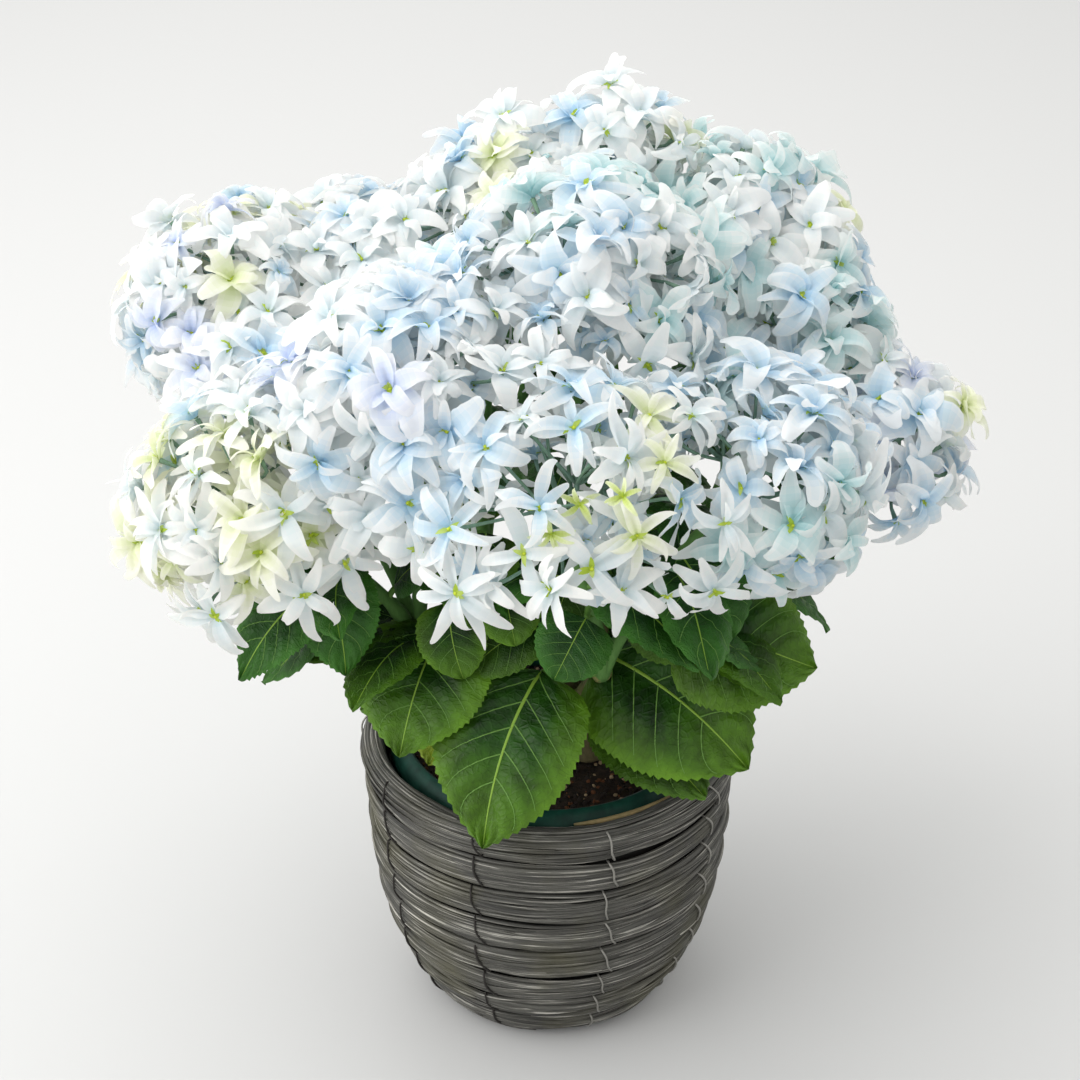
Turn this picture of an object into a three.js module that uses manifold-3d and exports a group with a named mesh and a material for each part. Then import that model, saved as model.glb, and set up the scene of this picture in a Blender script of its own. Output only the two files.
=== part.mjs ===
// A double-flowered hydrangea shrub in a plastic pot that stands inside a coiled wicker basket.
// Units are millimetres, +Z is up, and +X is to the right of someone who looks along +Y.
// The origin is the middle of the basket's flat underside, so the whole plant stands on z = 0.

import * as THREE from "three";
import { mergeVertices } from "three/addons/utils/BufferGeometryUtils.js";
import Module from "manifold-3d";

const wasm = await Module();
wasm.setup();

// ---- Driving dimensions ----

const GAP = 0.3; // clearance between two pieces that meet
const ROUND_SIDES = 18; // facets round the basket, the pot and the soil
const LIMB_SIDES = 5;
const LIMB_STEPS = 4;

const BASKET_HEIGHT = 158;
const BASKET_RADIUS = 100; // at the shoulder, its widest place
const COIL_COUNT = 8; // willow bundles, stacked and stitched
const COIL_THICKNESS = 13; // of one bundle, from outside to inside
const GROOVE_DEPTH = 2.4; // how far the groove between two bundles lies behind their bulge
const BASE_THICKNESS = 8; // of the woven disc in the basket's foot

const POT_RIM_RADIUS = 84;
const POT_MOUTH_RADIUS = 75;
const POT_NECK_RADIUS = 77; // of the body, just under the rim
const POT_FOOT_RADIUS = 51;
const POT_WALL = 2;
const POT_RIM_TOP = 157;
const POT_RIM_BOTTOM = 145;
const SOIL_LEVEL = 150;

const TRUNK_FOOT = [20, -14]; // where the trunk leaves the soil, in x and y
const TRUNK_TOP = [9, -6]; // it leans back towards the pot's middle
const TRUNK_HEIGHT = 42;
const TRUNK_FLARE = 11; // its radius at the soil
const TRUNK_RADIUS = 7.5; // just above the root flare
const TRUNK_TIP_RADIUS = 6;

const BOUGH_RADIUS = 4.8; // at the trunk
const STEM_RADIUS = 3.7; // at a fork
const STEM_TIP_RADIUS = 2.3; // under a flower head

const HEAD_UNEVENNESS = 0.05; // of a flower head's radius
const HEAD_UNDERSIDE = 0.3; // how much flatter a head is below than above
const LEAF_UNEVENNESS = 0.14;
const STALK_RADIUS = 1.8; // of the leaf stalk that carries a pad

const COLOURS = {
  willow: 0x6b6963,
  pot: 0x1f4a40,
  soil: 0x2b211b,
  bark: 0x6e5a40,
  stem: 0x4f7a3a,
  leaf: 0x35702a,
  whiteFlower: 0xeef2f4,
  blueFlower: 0xc3def0,
  creamFlower: 0xe9edd2,
};

// The basket's outside: height and radius, each as a share of its greatest.
const BASKET_OUTLINE = [
  [0.0, 0.62],
  [0.12, 0.75],
  [0.35, 0.89],
  [0.6, 0.95],
  [0.8, 0.965],
  [0.92, 0.995],
  [1.0, 0.965],
];

// Each flower head: the middle of its ball, its radius, its colour, and the bough its stem grows from.
const HEADS = {
  left_back: { at: [-157, 42, 380], radius: 64, colour: "whiteFlower", from: "left" },
  left_front: { at: [-140, -60, 318], radius: 63, colour: "creamFlower", from: "left" },
  centre_left: { at: [-62, -58, 372], radius: 68, colour: "whiteFlower", from: "left" },
  front: { at: [8, -106, 340], radius: 66, colour: "whiteFlower", from: "front" },
  front_right: { at: [92, -74, 339], radius: 61, colour: "blueFlower", from: "front" },
  centre: { at: [16, -8, 403], radius: 68, colour: "blueFlower", from: "trunk" },
  right: { at: [163, -12, 326], radius: 49, colour: "whiteFlower", from: "right" },
  right_back: { at: [125, 28, 367], radius: 52, colour: "blueFlower", from: "right" },
  top_right: { at: [99, 64, 415], radius: 51, colour: "whiteFlower", from: "back_right" },
  top: { at: [31, 84, 444], radius: 47, colour: "whiteFlower", from: "back_right" },
  top_left: { at: [-33, 80, 416], radius: 53, colour: "whiteFlower", from: "back_left" },
  back_left: { at: [-102, 108, 370], radius: 62, colour: "whiteFlower", from: "back_left" },
  back: { at: [4, 158, 362], radius: 62, colour: "blueFlower", from: "back_left" },
  back_right: { at: [98, 136, 346], radius: 60, colour: "whiteFlower", from: "back_right" },
};

// Where each main bough ends and its stems fork.
const FORKS = {
  left: [-62, -36, 228],
  front: [26, -56, 226],
  right: [62, -6, 226],
  back_right: [38, 42, 234],
  back_left: [-34, 44, 234],
};

// The foliage is two tiers of pads round the boughs. The lower one hangs over the pot's rim, and the
// upper one spreads under the flowers. out is a pad's distance from the axis, up is its height, droop
// is in degrees, each turn is its bearing in degrees from +X, and the rest are half sizes.
const LEAF_TIERS = {
  lower: {
    out: 72,
    up: 208,
    wide: 33,
    long: 46,
    thick: 13,
    droop: 44,
    turns: { front: -103, front_right: -46, right: 16, back_right: 78, back_left: 140, front_left: -148 },
  },
  upper: {
    out: 106,
    up: 246,
    wide: 38,
    long: 42,
    thick: 11,
    droop: 18,
    turns: { left: -150, right: -28, right_back: 46, left_back: 124 },
  },
};

// ---- Helpers ----

// A closed three.js geometry as a solid.
function solidOf(geometry) {
  const bare = geometry.clone();
  bare.deleteAttribute("normal");
  bare.deleteAttribute("uv");
  const merged = mergeVertices(bare, 1e-3);
  const mesh = new wasm.Mesh({
    numProp: 3,
    vertProperties: new Float32Array(merged.attributes.position.array),
    triVerts: new Uint32Array(merged.index.array),
  });
  return new wasm.Manifold(mesh);
}

// A solid as a three.js geometry.
function geometryOf(solid) {
  const mesh = solid.getMesh();
  const geometry = new THREE.BufferGeometry();
  geometry.setAttribute("position", new THREE.BufferAttribute(mesh.vertProperties, 3));
  geometry.setIndex(new THREE.BufferAttribute(mesh.triVerts, 1));
  geometry.computeVertexNormals();
  return geometry;
}

// What is left of a solid when the others are cut away. A cut can leave crumbs, which are dropped.
function carved(solid, others) {
  let rest = solid;
  for (const other of others) rest = rest.subtract(other);
  const bodies = rest.decompose();
  return bodies.reduce((biggest, body) => (body.volume() > biggest.volume() ? body : biggest));
}

// A ring or round body, turned round the z axis from a closed profile of [radius, height] points.
function turned(profile) {
  const points = profile.map(([radius, height]) => new THREE.Vector2(radius, height));
  return new THREE.LatheGeometry(points, ROUND_SIDES).rotateX(Math.PI / 2);
}

const root = new THREE.Group();

function addMesh(name, geometry, colour, roughness) {
  const material = new THREE.MeshStandardMaterial({ color: COLOURS[colour], roughness, metalness: 0 });
  const mesh = new THREE.Mesh(geometry, material);
  mesh.name = name;
  root.add(mesh);
  return mesh;
}

// ---- Basket ----

const basketOutline = new THREE.SplineCurve(
  BASKET_OUTLINE.map(([up, out]) => new THREE.Vector2(out * BASKET_RADIUS, up * BASKET_HEIGHT)),
);
const outlinePoints = basketOutline.getPoints(200);

// The basket's outer radius at a height, at the bottom of its grooves.
function basketRadius(height) {
  const above = outlinePoints.findIndex((point) => point.y >= height);
  if (above <= 0) return outlinePoints[0].x;
  const [low, high] = [outlinePoints[above - 1], outlinePoints[above]];
  return THREE.MathUtils.mapLinear(height, low.y, high.y, low.x, high.x) - GROOVE_DEPTH;
}

// One bundle of willow: a ring that bulges outwards between two grooves. The top one is rounded over.
function coilRing(index) {
  const pitch = BASKET_HEIGHT / COIL_COUNT;
  const bottom = index * pitch;
  const top = bottom + pitch;
  const outer = [0, 0.3, 0.7, 1].map((share) => {
    const height = bottom + share * pitch;
    return [basketRadius(height) + GROOVE_DEPTH * Math.sin(Math.PI * share), height];
  });
  const inner = [
    [basketRadius(top) - COIL_THICKNESS, top],
    [basketRadius(bottom) - COIL_THICKNESS, bottom],
  ];
  if (index === COIL_COUNT - 1) {
    outer[3] = [BASKET_RADIUS - COIL_THICKNESS / 2, top];
    inner[0] = [BASKET_RADIUS - COIL_THICKNESS, top - COIL_THICKNESS / 3];
  }
  return turned([...outer, ...inner, outer[0]]);
}

for (let index = 0; index < COIL_COUNT; index++) {
  addMesh(`basket_coil_${index + 1}`, coilRing(index), "willow", 0.85);
}

// The woven disc in the foot, inside the lowest bundle.
const discRadius = basketRadius(0) - COIL_THICKNESS - GAP;
const basketBase = turned([
  [0, 0],
  [discRadius, 0],
  [discRadius, BASE_THICKNESS],
  [0, BASE_THICKNESS],
]);
addMesh("basket_base", basketBase, "willow", 0.85);

// ---- Pot and soil ----

// The pot stands on the basket's base. Its broad rim slopes down and outwards from the mouth.
const pot = turned([
  [0, BASE_THICKNESS],
  [POT_FOOT_RADIUS, BASE_THICKNESS],
  [POT_NECK_RADIUS, POT_RIM_BOTTOM],
  [POT_RIM_RADIUS, POT_RIM_BOTTOM],
  [POT_RIM_RADIUS, POT_RIM_BOTTOM + 3],
  [(POT_RIM_RADIUS + POT_MOUTH_RADIUS) / 2, POT_RIM_TOP - 2],
  [POT_MOUTH_RADIUS, POT_RIM_TOP],
  [POT_NECK_RADIUS - POT_WALL, POT_RIM_BOTTOM],
  [POT_FOOT_RADIUS - POT_WALL, BASE_THICKNESS + POT_WALL],
  [0, BASE_THICKNESS + POT_WALL],
]);
addMesh("pot", pot, "pot", 0.4);

// The soil fills the pot to a little under its mouth.
const soilFoot = BASE_THICKNESS + POT_WALL;
const soilRadius = POT_MOUTH_RADIUS - 2 * GAP;
const soil = turned([
  [0, soilFoot],
  [POT_FOOT_RADIUS - POT_WALL - GAP, soilFoot],
  [soilRadius, POT_RIM_BOTTOM - GAP],
  [soilRadius, SOIL_LEVEL],
  [0, SOIL_LEVEL],
]);
addMesh("soil", soil, "soil", 1);

// ---- Trunk, boughs and stems ----

// A round tapering limb along a curve, closed at both ends and never below the soil. radiusAt gives its
// radius at a share of its length.
function limb(curve, radiusAt, grown = 0, steps = LIMB_STEPS) {
  const shares = Array.from({ length: steps + 1 }, (_, step) => step / steps);
  const profile = shares.map((share) => new THREE.Vector2(radiusAt(share) + grown, share));
  const closed = [new THREE.Vector2(0, 0), ...profile, new THREE.Vector2(0, 1)];
  const geometry = new THREE.LatheGeometry(closed, LIMB_SIDES);
  const frames = curve.computeFrenetFrames(steps, false);
  const position = geometry.attributes.position;
  for (let index = 0; index < position.count; index++) {
    const step = Math.round(position.getY(index) * steps);
    const place = curve.getPointAt(step / steps);
    place.addScaledVector(frames.normals[step], position.getX(index));
    place.addScaledVector(frames.binormals[step], -position.getZ(index));
    position.setXYZ(index, place.x, place.y, Math.max(place.z, SOIL_LEVEL));
  }
  return solidOf(geometry);
}

const trunkFoot = new THREE.Vector3(...TRUNK_FOOT, SOIL_LEVEL);
const trunkTop = new THREE.Vector3(...TRUNK_TOP, SOIL_LEVEL + TRUNK_HEIGHT);
// It rises straight from the soil, so that its cut is level, and leans over above that.
const trunkKnee = trunkFoot.clone().setZ(SOIL_LEVEL + TRUNK_HEIGHT / 2);
const trunkCurve = new THREE.QuadraticBezierCurve3(trunkFoot, trunkKnee, trunkTop);
function trunkRadius(share) {
  const taper = THREE.MathUtils.lerp(TRUNK_RADIUS, TRUNK_TIP_RADIUS, share);
  return taper + (TRUNK_FLARE - TRUNK_RADIUS) * (1 - share) ** 5;
}
const trunk = limb(trunkCurve, trunkRadius);
addMesh("trunk", geometryOf(trunk), "bark", 0.9);

const limbs = [{ name: "trunk", curve: trunkCurve, grown: limb(trunkCurve, trunkRadius, GAP) }];

// Adds a limb, cut off where it would run into those that are there already.
function addLimb(name, curve, radiusAt, colour, ends = []) {
  const solid = carved(limb(curve, radiusAt), [...limbs.map((other) => other.grown), ...ends]);
  limbs.push({ name, curve, grown: limb(curve, radiusAt, GAP) });
  addMesh(name, geometryOf(solid), colour, 0.75);
}

const tapering = (from, to) => (share) => THREE.MathUtils.lerp(from, to, share);

// Each bough leaves the trunk below its top and rises outwards to its fork.
for (const [name, fork] of Object.entries(FORKS)) {
  const end = new THREE.Vector3(...fork);
  const start = trunkCurve.getPointAt(0.7);
  const outwards = end.clone().sub(start).setZ(0).normalize();
  const knee = start.clone().addScaledVector(outwards, 22).add(new THREE.Vector3(0, 0, 16));
  const curve = new THREE.QuadraticBezierCurve3(start, knee, end);
  addLimb(`bough_${name}`, curve, tapering(BOUGH_RADIUS, STEM_RADIUS + 0.6), "bark");
}

// ---- Flower heads ----

// A smooth unevenness between -1 and 1 over all directions, different for each seed.
function unevenness(direction, seed) {
  const { x, y, z } = direction;
  return Math.sin(4.1 * x + seed) * Math.sin(3.7 * y + 1.7 * seed) + 0.5 * Math.sin(7.3 * z + 2.3 * seed + 2 * x);
}

const plantMiddle = new THREE.Vector3(0, 0, 200);

// The head's radius in a direction: a ball, flatter below, uneven, and stopped half-way to each neighbour.
function headRadius(name, direction, seed, grown) {
  const head = HEADS[name];
  const centre = new THREE.Vector3(...head.at);
  const axis = centre.clone().sub(plantMiddle).normalize();
  const below = Math.max(0, -direction.dot(axis));
  let reach = 1.02 * head.radius * (1 - HEAD_UNDERSIDE * below) * (1 + HEAD_UNEVENNESS * unevenness(direction, seed));
  for (const [otherName, other] of Object.entries(HEADS)) {
    if (otherName === name) continue;
    const towards = new THREE.Vector3(...other.at).sub(centre);
    const distance = towards.length();
    const facing = direction.dot(towards.normalize());
    if (facing <= 0) continue;
    const border = (distance ** 2 + head.radius ** 2 - other.radius ** 2) / (2 * distance) - GAP / 2;
    reach = Math.min(reach, border / facing);
  }
  return reach + grown;
}

function headSolid(name, seed, grown = 0) {
  const geometry = bareSphere(2);
  const position = geometry.attributes.position;
  const direction = new THREE.Vector3();
  for (let index = 0; index < position.count; index++) {
    direction.fromBufferAttribute(position, index).normalize();
    const reach = headRadius(name, direction, seed, grown);
    const [x, y, z] = HEADS[name].at;
    position.setXYZ(index, x + direction.x * reach, y + direction.y * reach, z + direction.z * reach);
  }
  return solidOf(geometry);
}

// A unit ball of even triangles, with nothing but its positions.
function bareSphere(detail) {
  const geometry = new THREE.IcosahedronGeometry(1, detail);
  geometry.deleteAttribute("normal");
  geometry.deleteAttribute("uv");
  return mergeVertices(geometry, 1e-3);
}

const headNames = Object.keys(HEADS);
const headSolids = Object.fromEntries(headNames.map((name, index) => [name, headSolid(name, index)]));

// Each stem leaves its fork along its bough and turns to meet its head from below.
for (const [index, name] of headNames.entries()) {
  const { at, from } = HEADS[name];
  const centre = new THREE.Vector3(...at);
  const axis = centre.clone().sub(plantMiddle).normalize();
  const fork = from === "trunk" ? trunkTop : new THREE.Vector3(...FORKS[from]);
  const reach = fork.distanceTo(centre) / 3;
  const start = fork.clone().addScaledVector(new THREE.Vector3(0, 0, -1), 3);
  const leaving = fork.clone().addScaledVector(new THREE.Vector3(axis.x, axis.y, 2).normalize(), reach);
  const meeting = centre.clone().addScaledVector(axis, -reach);
  const curve = new THREE.CubicBezierCurve3(start, leaving, meeting, centre);
  addLimb(`stem_${name}`, curve, tapering(STEM_RADIUS, STEM_TIP_RADIUS), "stem", [headSolid(name, index, GAP)]);
}

for (const name of headNames) {
  const strangers = limbs.filter((other) => other.name !== `stem_${name}`).map((other) => other.grown);
  headSolids[name] = carved(headSolids[name], strangers);
  addMesh(`flowers_${name}`, geometryOf(headSolids[name]), HEADS[name].colour, 0.6);
}

// ---- Foliage ----

// One pad of leaves: an uneven flattened ball that hangs outwards and down, on a stalk from the nearest limb.
function leafPad(tier, turn, seed, grown = 0) {
  const geometry = bareSphere(2);
  const position = geometry.attributes.position;
  const direction = new THREE.Vector3();
  for (let index = 0; index < position.count; index++) {
    direction.fromBufferAttribute(position, index).normalize();
    const swell = 1 + LEAF_UNEVENNESS * unevenness(direction, seed);
    position.setXYZ(
      index,
      direction.x * (tier.long * swell + grown),
      direction.y * (tier.wide * swell + grown),
      direction.z * (tier.thick * swell + grown),
    );
  }
  geometry.rotateY(THREE.MathUtils.degToRad(tier.droop));
  geometry.translate(tier.out, 0, tier.up);
  geometry.rotateZ(THREE.MathUtils.degToRad(turn));
  return solidOf(geometry);
}

function stalk(tier, turn, grown = 0) {
  const bearing = THREE.MathUtils.degToRad(turn);
  const middle = new THREE.Vector3(tier.out * Math.cos(bearing), tier.out * Math.sin(bearing), tier.up);
  const places = limbs.flatMap((other) => other.curve.getSpacedPoints(20).slice(6, 14));
  const nearest = places.reduce((best, place) =>
    place.distanceTo(middle) < best.distanceTo(middle) ? place : best,
  );
  return limb(new THREE.LineCurve3(nearest, middle), () => STALK_RADIUS, grown, 1);
}

const surroundings = [
  ...limbs.map((other) => other.grown),
  ...headNames.map((name, index) => headSolid(name, index, GAP)),
];
const padsSoFar = [];
for (const [tierName, tier] of Object.entries(LEAF_TIERS)) {
  for (const [place, turn] of Object.entries(tier.turns)) {
    const seed = 10 + padsSoFar.length;
    const pad = leafPad(tier, turn, seed).add(stalk(tier, turn));
    const solid = carved(pad, [...surroundings, ...padsSoFar]);
    padsSoFar.push(leafPad(tier, turn, seed, GAP).add(stalk(tier, turn, GAP)));
    addMesh(`leaves_${tierName}_${place}`, geometryOf(solid), "leaf", 0.6);
  }
}

export default root;
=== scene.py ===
"""A double-flowered hydrangea in a plastic pot that stands inside a coiled wicker basket.

Shapes are worked out in millimetres and become metres where a piece is made.
"""

import math

import bpy
import numpy as np
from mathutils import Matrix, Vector, noise


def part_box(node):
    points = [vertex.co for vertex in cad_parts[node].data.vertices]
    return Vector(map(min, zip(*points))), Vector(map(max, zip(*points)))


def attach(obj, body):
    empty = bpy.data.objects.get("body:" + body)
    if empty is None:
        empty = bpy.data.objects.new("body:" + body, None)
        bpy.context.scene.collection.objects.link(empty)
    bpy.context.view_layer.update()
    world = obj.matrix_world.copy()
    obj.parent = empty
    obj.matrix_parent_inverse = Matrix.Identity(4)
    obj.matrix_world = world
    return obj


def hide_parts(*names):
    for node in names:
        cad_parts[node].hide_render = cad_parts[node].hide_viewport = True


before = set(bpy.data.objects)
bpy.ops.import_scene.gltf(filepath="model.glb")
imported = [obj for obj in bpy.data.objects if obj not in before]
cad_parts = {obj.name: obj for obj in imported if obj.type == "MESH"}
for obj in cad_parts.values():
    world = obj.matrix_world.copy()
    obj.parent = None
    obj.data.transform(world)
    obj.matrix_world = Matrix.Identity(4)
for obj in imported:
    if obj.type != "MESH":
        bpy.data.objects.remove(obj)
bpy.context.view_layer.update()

MM = 0.001
UP = np.array([0.0, 0.0, 1.0])

# ---- Sizes, in millimetres ----

BASKET_HEIGHT = 158.0
BASKET_RADIUS = 100.0
COIL_COUNT = 8
COIL_PITCH = BASKET_HEIGHT / COIL_COUNT
COIL_THICKNESS = 13.0
GROOVE_DEPTH = 2.4
PACKING_DEPTH, PACKING_THICKNESS = 4.0, 5.6  # how far behind the grooves, and how thick
FOOT_THICKNESS = 8.0
# The basket's outside: height and radius, each as a share of its greatest.
BASKET_OUTLINE = np.array(
    [[0.0, 0.62], [0.12, 0.75], [0.35, 0.89], [0.6, 0.95], [0.8, 0.965], [0.92, 0.995], [1.0, 0.965]]
)
ROD_RADIUS = 1.35
ROUND_STEPS = 108  # points along a rod that goes once round
OUTER_RODS, INNER_RODS, RIM_RODS, LOOSE_RODS = 9, 6, 18, 16  # in each bundle
FOOT_RINGS, FOOT_RING_PITCH = 17, 2.75
STITCH_RADIUS = 0.5
STITCH_COLUMNS = 9
FIRST_COLUMN = -111.6  # its bearing, in degrees

POT_PROFILE = [  # outside from the floor up, over the rim and down inside
    (0, 8), (47, 8), (51, 10), (76.4, 143), (77, 145), (82.5, 145.2), (84, 146.2), (84, 148.5), (83, 150.6),
    (79.4, 154.9), (77.6, 156.4), (76, 157), (74.9, 156.6), (74.4, 155.5), (74.3, 152), (74.6, 147), (49, 10),
    (0, 10),
]
SOIL_LEVEL = 150.0
SOIL_RADIUS = 73.8

TRUNK_FOOT = np.array([20.0, -14.0, SOIL_LEVEL])
TRUNK_KNEE = np.array([20.0, -14.0, SOIL_LEVEL + 21])
TRUNK_TOP = np.array([9.0, -6.0, SOIL_LEVEL + 42])
TRUNK_FLARE, TRUNK_RADIUS, TRUNK_TIP_RADIUS = 11.0, 7.5, 6.0
BOUGH_RADIUS, STEM_RADIUS, STEM_TIP_RADIUS = 4.8, 3.7, 2.3
PLANT_MIDDLE = np.array([0.0, 0.0, 200.0])

FORKS = {
    "left": (-62, -36, 228),
    "front": (26, -56, 226),
    "right": (62, -6, 226),
    "back_right": (38, 42, 234),
    "back_left": (-34, 44, 234),
}

# Each flower head: the middle of its ball, its radius, the bough it grows from, its record slot, and how
# its florets share out between the colour families.
HEADS = {
    "left_back": ((-157, 42, 380), 64, "left", "white_flower", dict(white=6, sky=3, lavender=2, cream=1)),
    "left_front": ((-140, -60, 318), 63, "left", "cream_flower", dict(cream=6, white=7, sky=1)),
    "centre_left": ((-62, -58, 372), 68, "left", "white_flower", dict(white=4, sky=5, lavender=1, aqua=1)),
    "front": ((8, -106, 340), 66, "front", "white_flower", dict(white=5, sky=4, cream=1)),
    "front_right": ((92, -74, 339), 61, "front", "blue_flower", dict(sky=5, aqua=4, white=1)),
    "centre": ((16, -8, 403), 68, "trunk", "blue_flower", dict(white=4, sky=3, aqua=4)),
    "right": ((163, -12, 326), 49, "right", "white_flower", dict(white=3, sky=4, lavender=2, cream=1)),
    "right_back": ((125, 28, 367), 52, "right", "blue_flower", dict(sky=3, aqua=5, white=1)),
    "top_right": ((99, 64, 415), 51, "back_right", "white_flower", dict(white=5, sky=1, aqua=4)),
    "top": ((31, 84, 444), 47, "back_right", "white_flower", dict(white=7, sky=2, cream=1)),
    "top_left": ((-33, 80, 416), 53, "back_left", "white_flower", dict(white=6, sky=2, cream=1)),
    "back_left": ((-102, 108, 370), 62, "back_left", "white_flower", dict(white=5, sky=2, lavender=1)),
    "back": ((4, 158, 362), 62, "back_left", "blue_flower", dict(sky=3, white=3, aqua=2)),
    "back_right": ((98, 136, 346), 60, "back_right", "white_flower", dict(white=4, sky=3, aqua=1)),
}

LEAF_TIERS = {
    "lower": dict(out=72, up=208, turns=dict(front=-103, front_right=-46, right=16, back_right=78,
                                             back_left=140, front_left=-148)),
    "upper": dict(out=106, up=246, turns=dict(left=-150, right=-28, right_back=46, left_back=124)),
}

# ---- Materials ----


def channels(code):
    """A hex colour's red, green and blue, each 0 to 255."""
    return [int(code[i : i + 2], 16) for i in (1, 3, 5)]


def linear(code):
    """An sRGB hex value as a linear colour."""
    shares = [channel / 255 for channel in channels(code)]
    return [c / 12.92 if c <= 0.04045 else ((c + 0.055) / 1.055) ** 2.4 for c in shares] + [1.0]


def between(foot, tip, share):
    """The hex colour at a share of the way from one colour to another."""
    mixed = [round(a * (1 - share) + b * share) for a, b in zip(channels(foot), channels(tip))]
    return "#" + "".join(f"{channel:02x}" for channel in mixed)


def add_node(tree, kind, settings=(), **links):
    """Adds a node. settings sets its properties and sockets, links its inputs from other nodes' outputs."""
    node = tree.nodes.new(kind)
    for key, value in dict(settings).items():
        if isinstance(key, str) and hasattr(node, key):
            setattr(node, key, value)
        else:
            node.inputs[key].default_value = value
    for key, source in links.items():
        key = key[1:]
        tree.links.new(source, node.inputs[int(key) if key.isdigit() else key])
    return node


def set_ramp(ramp, *stops):
    """Gives a colour ramp its stops, each a place and a hex colour."""
    elements = ramp.color_ramp.elements
    while len(elements) < len(stops):
        elements.new(0.5)
    for element, (position, colour) in zip(elements, stops):
        element.position, element.color = position, linear(colour)


def new_material(name, roughness=0.9):
    made = bpy.data.materials.new(name)
    made.use_nodes = True
    tree = made.node_tree
    shader = tree.nodes["Principled BSDF"]
    shader.inputs["Roughness"].default_value = roughness
    return made, tree, shader, tree.nodes["Material Output"]


def plain_material(name, colour, roughness=0.9, metal=0.0):
    made, tree, shader, output = new_material(name, roughness)
    shader.inputs["Base Color"].default_value = linear(colour)
    shader.inputs["Metallic"].default_value = metal
    return made


def thin_tissue(name, colour, glow, roughness=0.5, share=0.35):
    """Petal or leaf tissue of one plain colour, which lets some light through from behind."""
    made, tree, shader, output = new_material(name, roughness)
    shader.inputs["Base Color"].default_value = linear(colour)
    shader.inputs["IOR"].default_value = 1.4
    through = add_node(tree, "ShaderNodeBsdfTranslucent", {"Color": linear(glow)})
    mix = add_node(tree, "ShaderNodeMixShader", {"Fac": share}, _1=shader.outputs[0], _2=through.outputs[0])
    tree.links.new(mix.outputs[0], output.inputs["Surface"])
    return made


TINT_STEPS = 10
# Sepal tissue: each family's tint at a sepal's foot and at its tip. Steps between them are plain colours.
FAMILIES = {
    "white": ("#dbe9ef", "#f9f8f6"),
    "sky": ("#b4d8f0", "#f5f6f6"),
    "aqua": ("#b0dce0", "#f4f7f5"),
    "lavender": ("#c6d5f3", "#f6f6f8"),
    "cream": ("#dfe8b2", "#fbfaf1"),
    "lime": ("#b8ce48", "#ecf2c8"),
}
TISSUES, TISSUE_INDEX = [], {}
for family, (foot, tip) in FAMILIES.items():
    TISSUE_INDEX[family] = len(TISSUES)
    for step in range(TINT_STEPS):
        tint = between(foot, tip, step / (TINT_STEPS - 1))
        TISSUES.append(thin_tissue(f"sepal_tissue_{family}_{step + 1}", tint, tint, 0.55, 0.5))
BUD = len(TISSUES)
TISSUES.append(thin_tissue("young_bud_skin", "#c6d63a", "#d5e25a", 0.45, 0.2))

# ---- Small shapes from arrays ----


def unit(vector):
    vector = np.asarray(vector, float)
    return vector / np.linalg.norm(vector)


def facing(direction, spin=0.0):
    """A turn that carries +Z to a direction, after a spin about it. Its columns are the new axes."""
    z = unit(direction)
    x = unit(np.cross([0.0, 1.0, 0.0] if abs(z[1]) < 0.9 else [1.0, 0.0, 0.0], z))
    y = np.cross(z, x)
    return np.stack([x * math.cos(spin) + y * math.sin(spin), y * math.cos(spin) - x * math.sin(spin), z], 1)


def sheet_faces(rows, columns):
    """The quads of a grid of rows by columns points."""
    corner = (np.arange(rows - 1)[:, None] * columns + np.arange(columns - 1)).ravel()
    return np.stack([corner, corner + 1, corner + columns + 1, corner + columns], 1)


def ring_faces(rings, sides, closed=False):
    """The quads between rings of points, one ring after another."""
    ring = np.arange(rings if closed else rings - 1)[:, None]
    here, after = ring * sides, (ring + 1) % rings * sides
    side = np.arange(sides)
    beside = (side + 1) % sides
    return np.stack([here + side, here + beside, after + beside, after + side], -1).reshape(-1, 4)


def bent(radii, angles, heights):
    """Points round the basket's axis."""
    return np.stack(np.broadcast_arrays(radii * np.cos(angles), radii * np.sin(angles), heights), -1)


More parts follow.
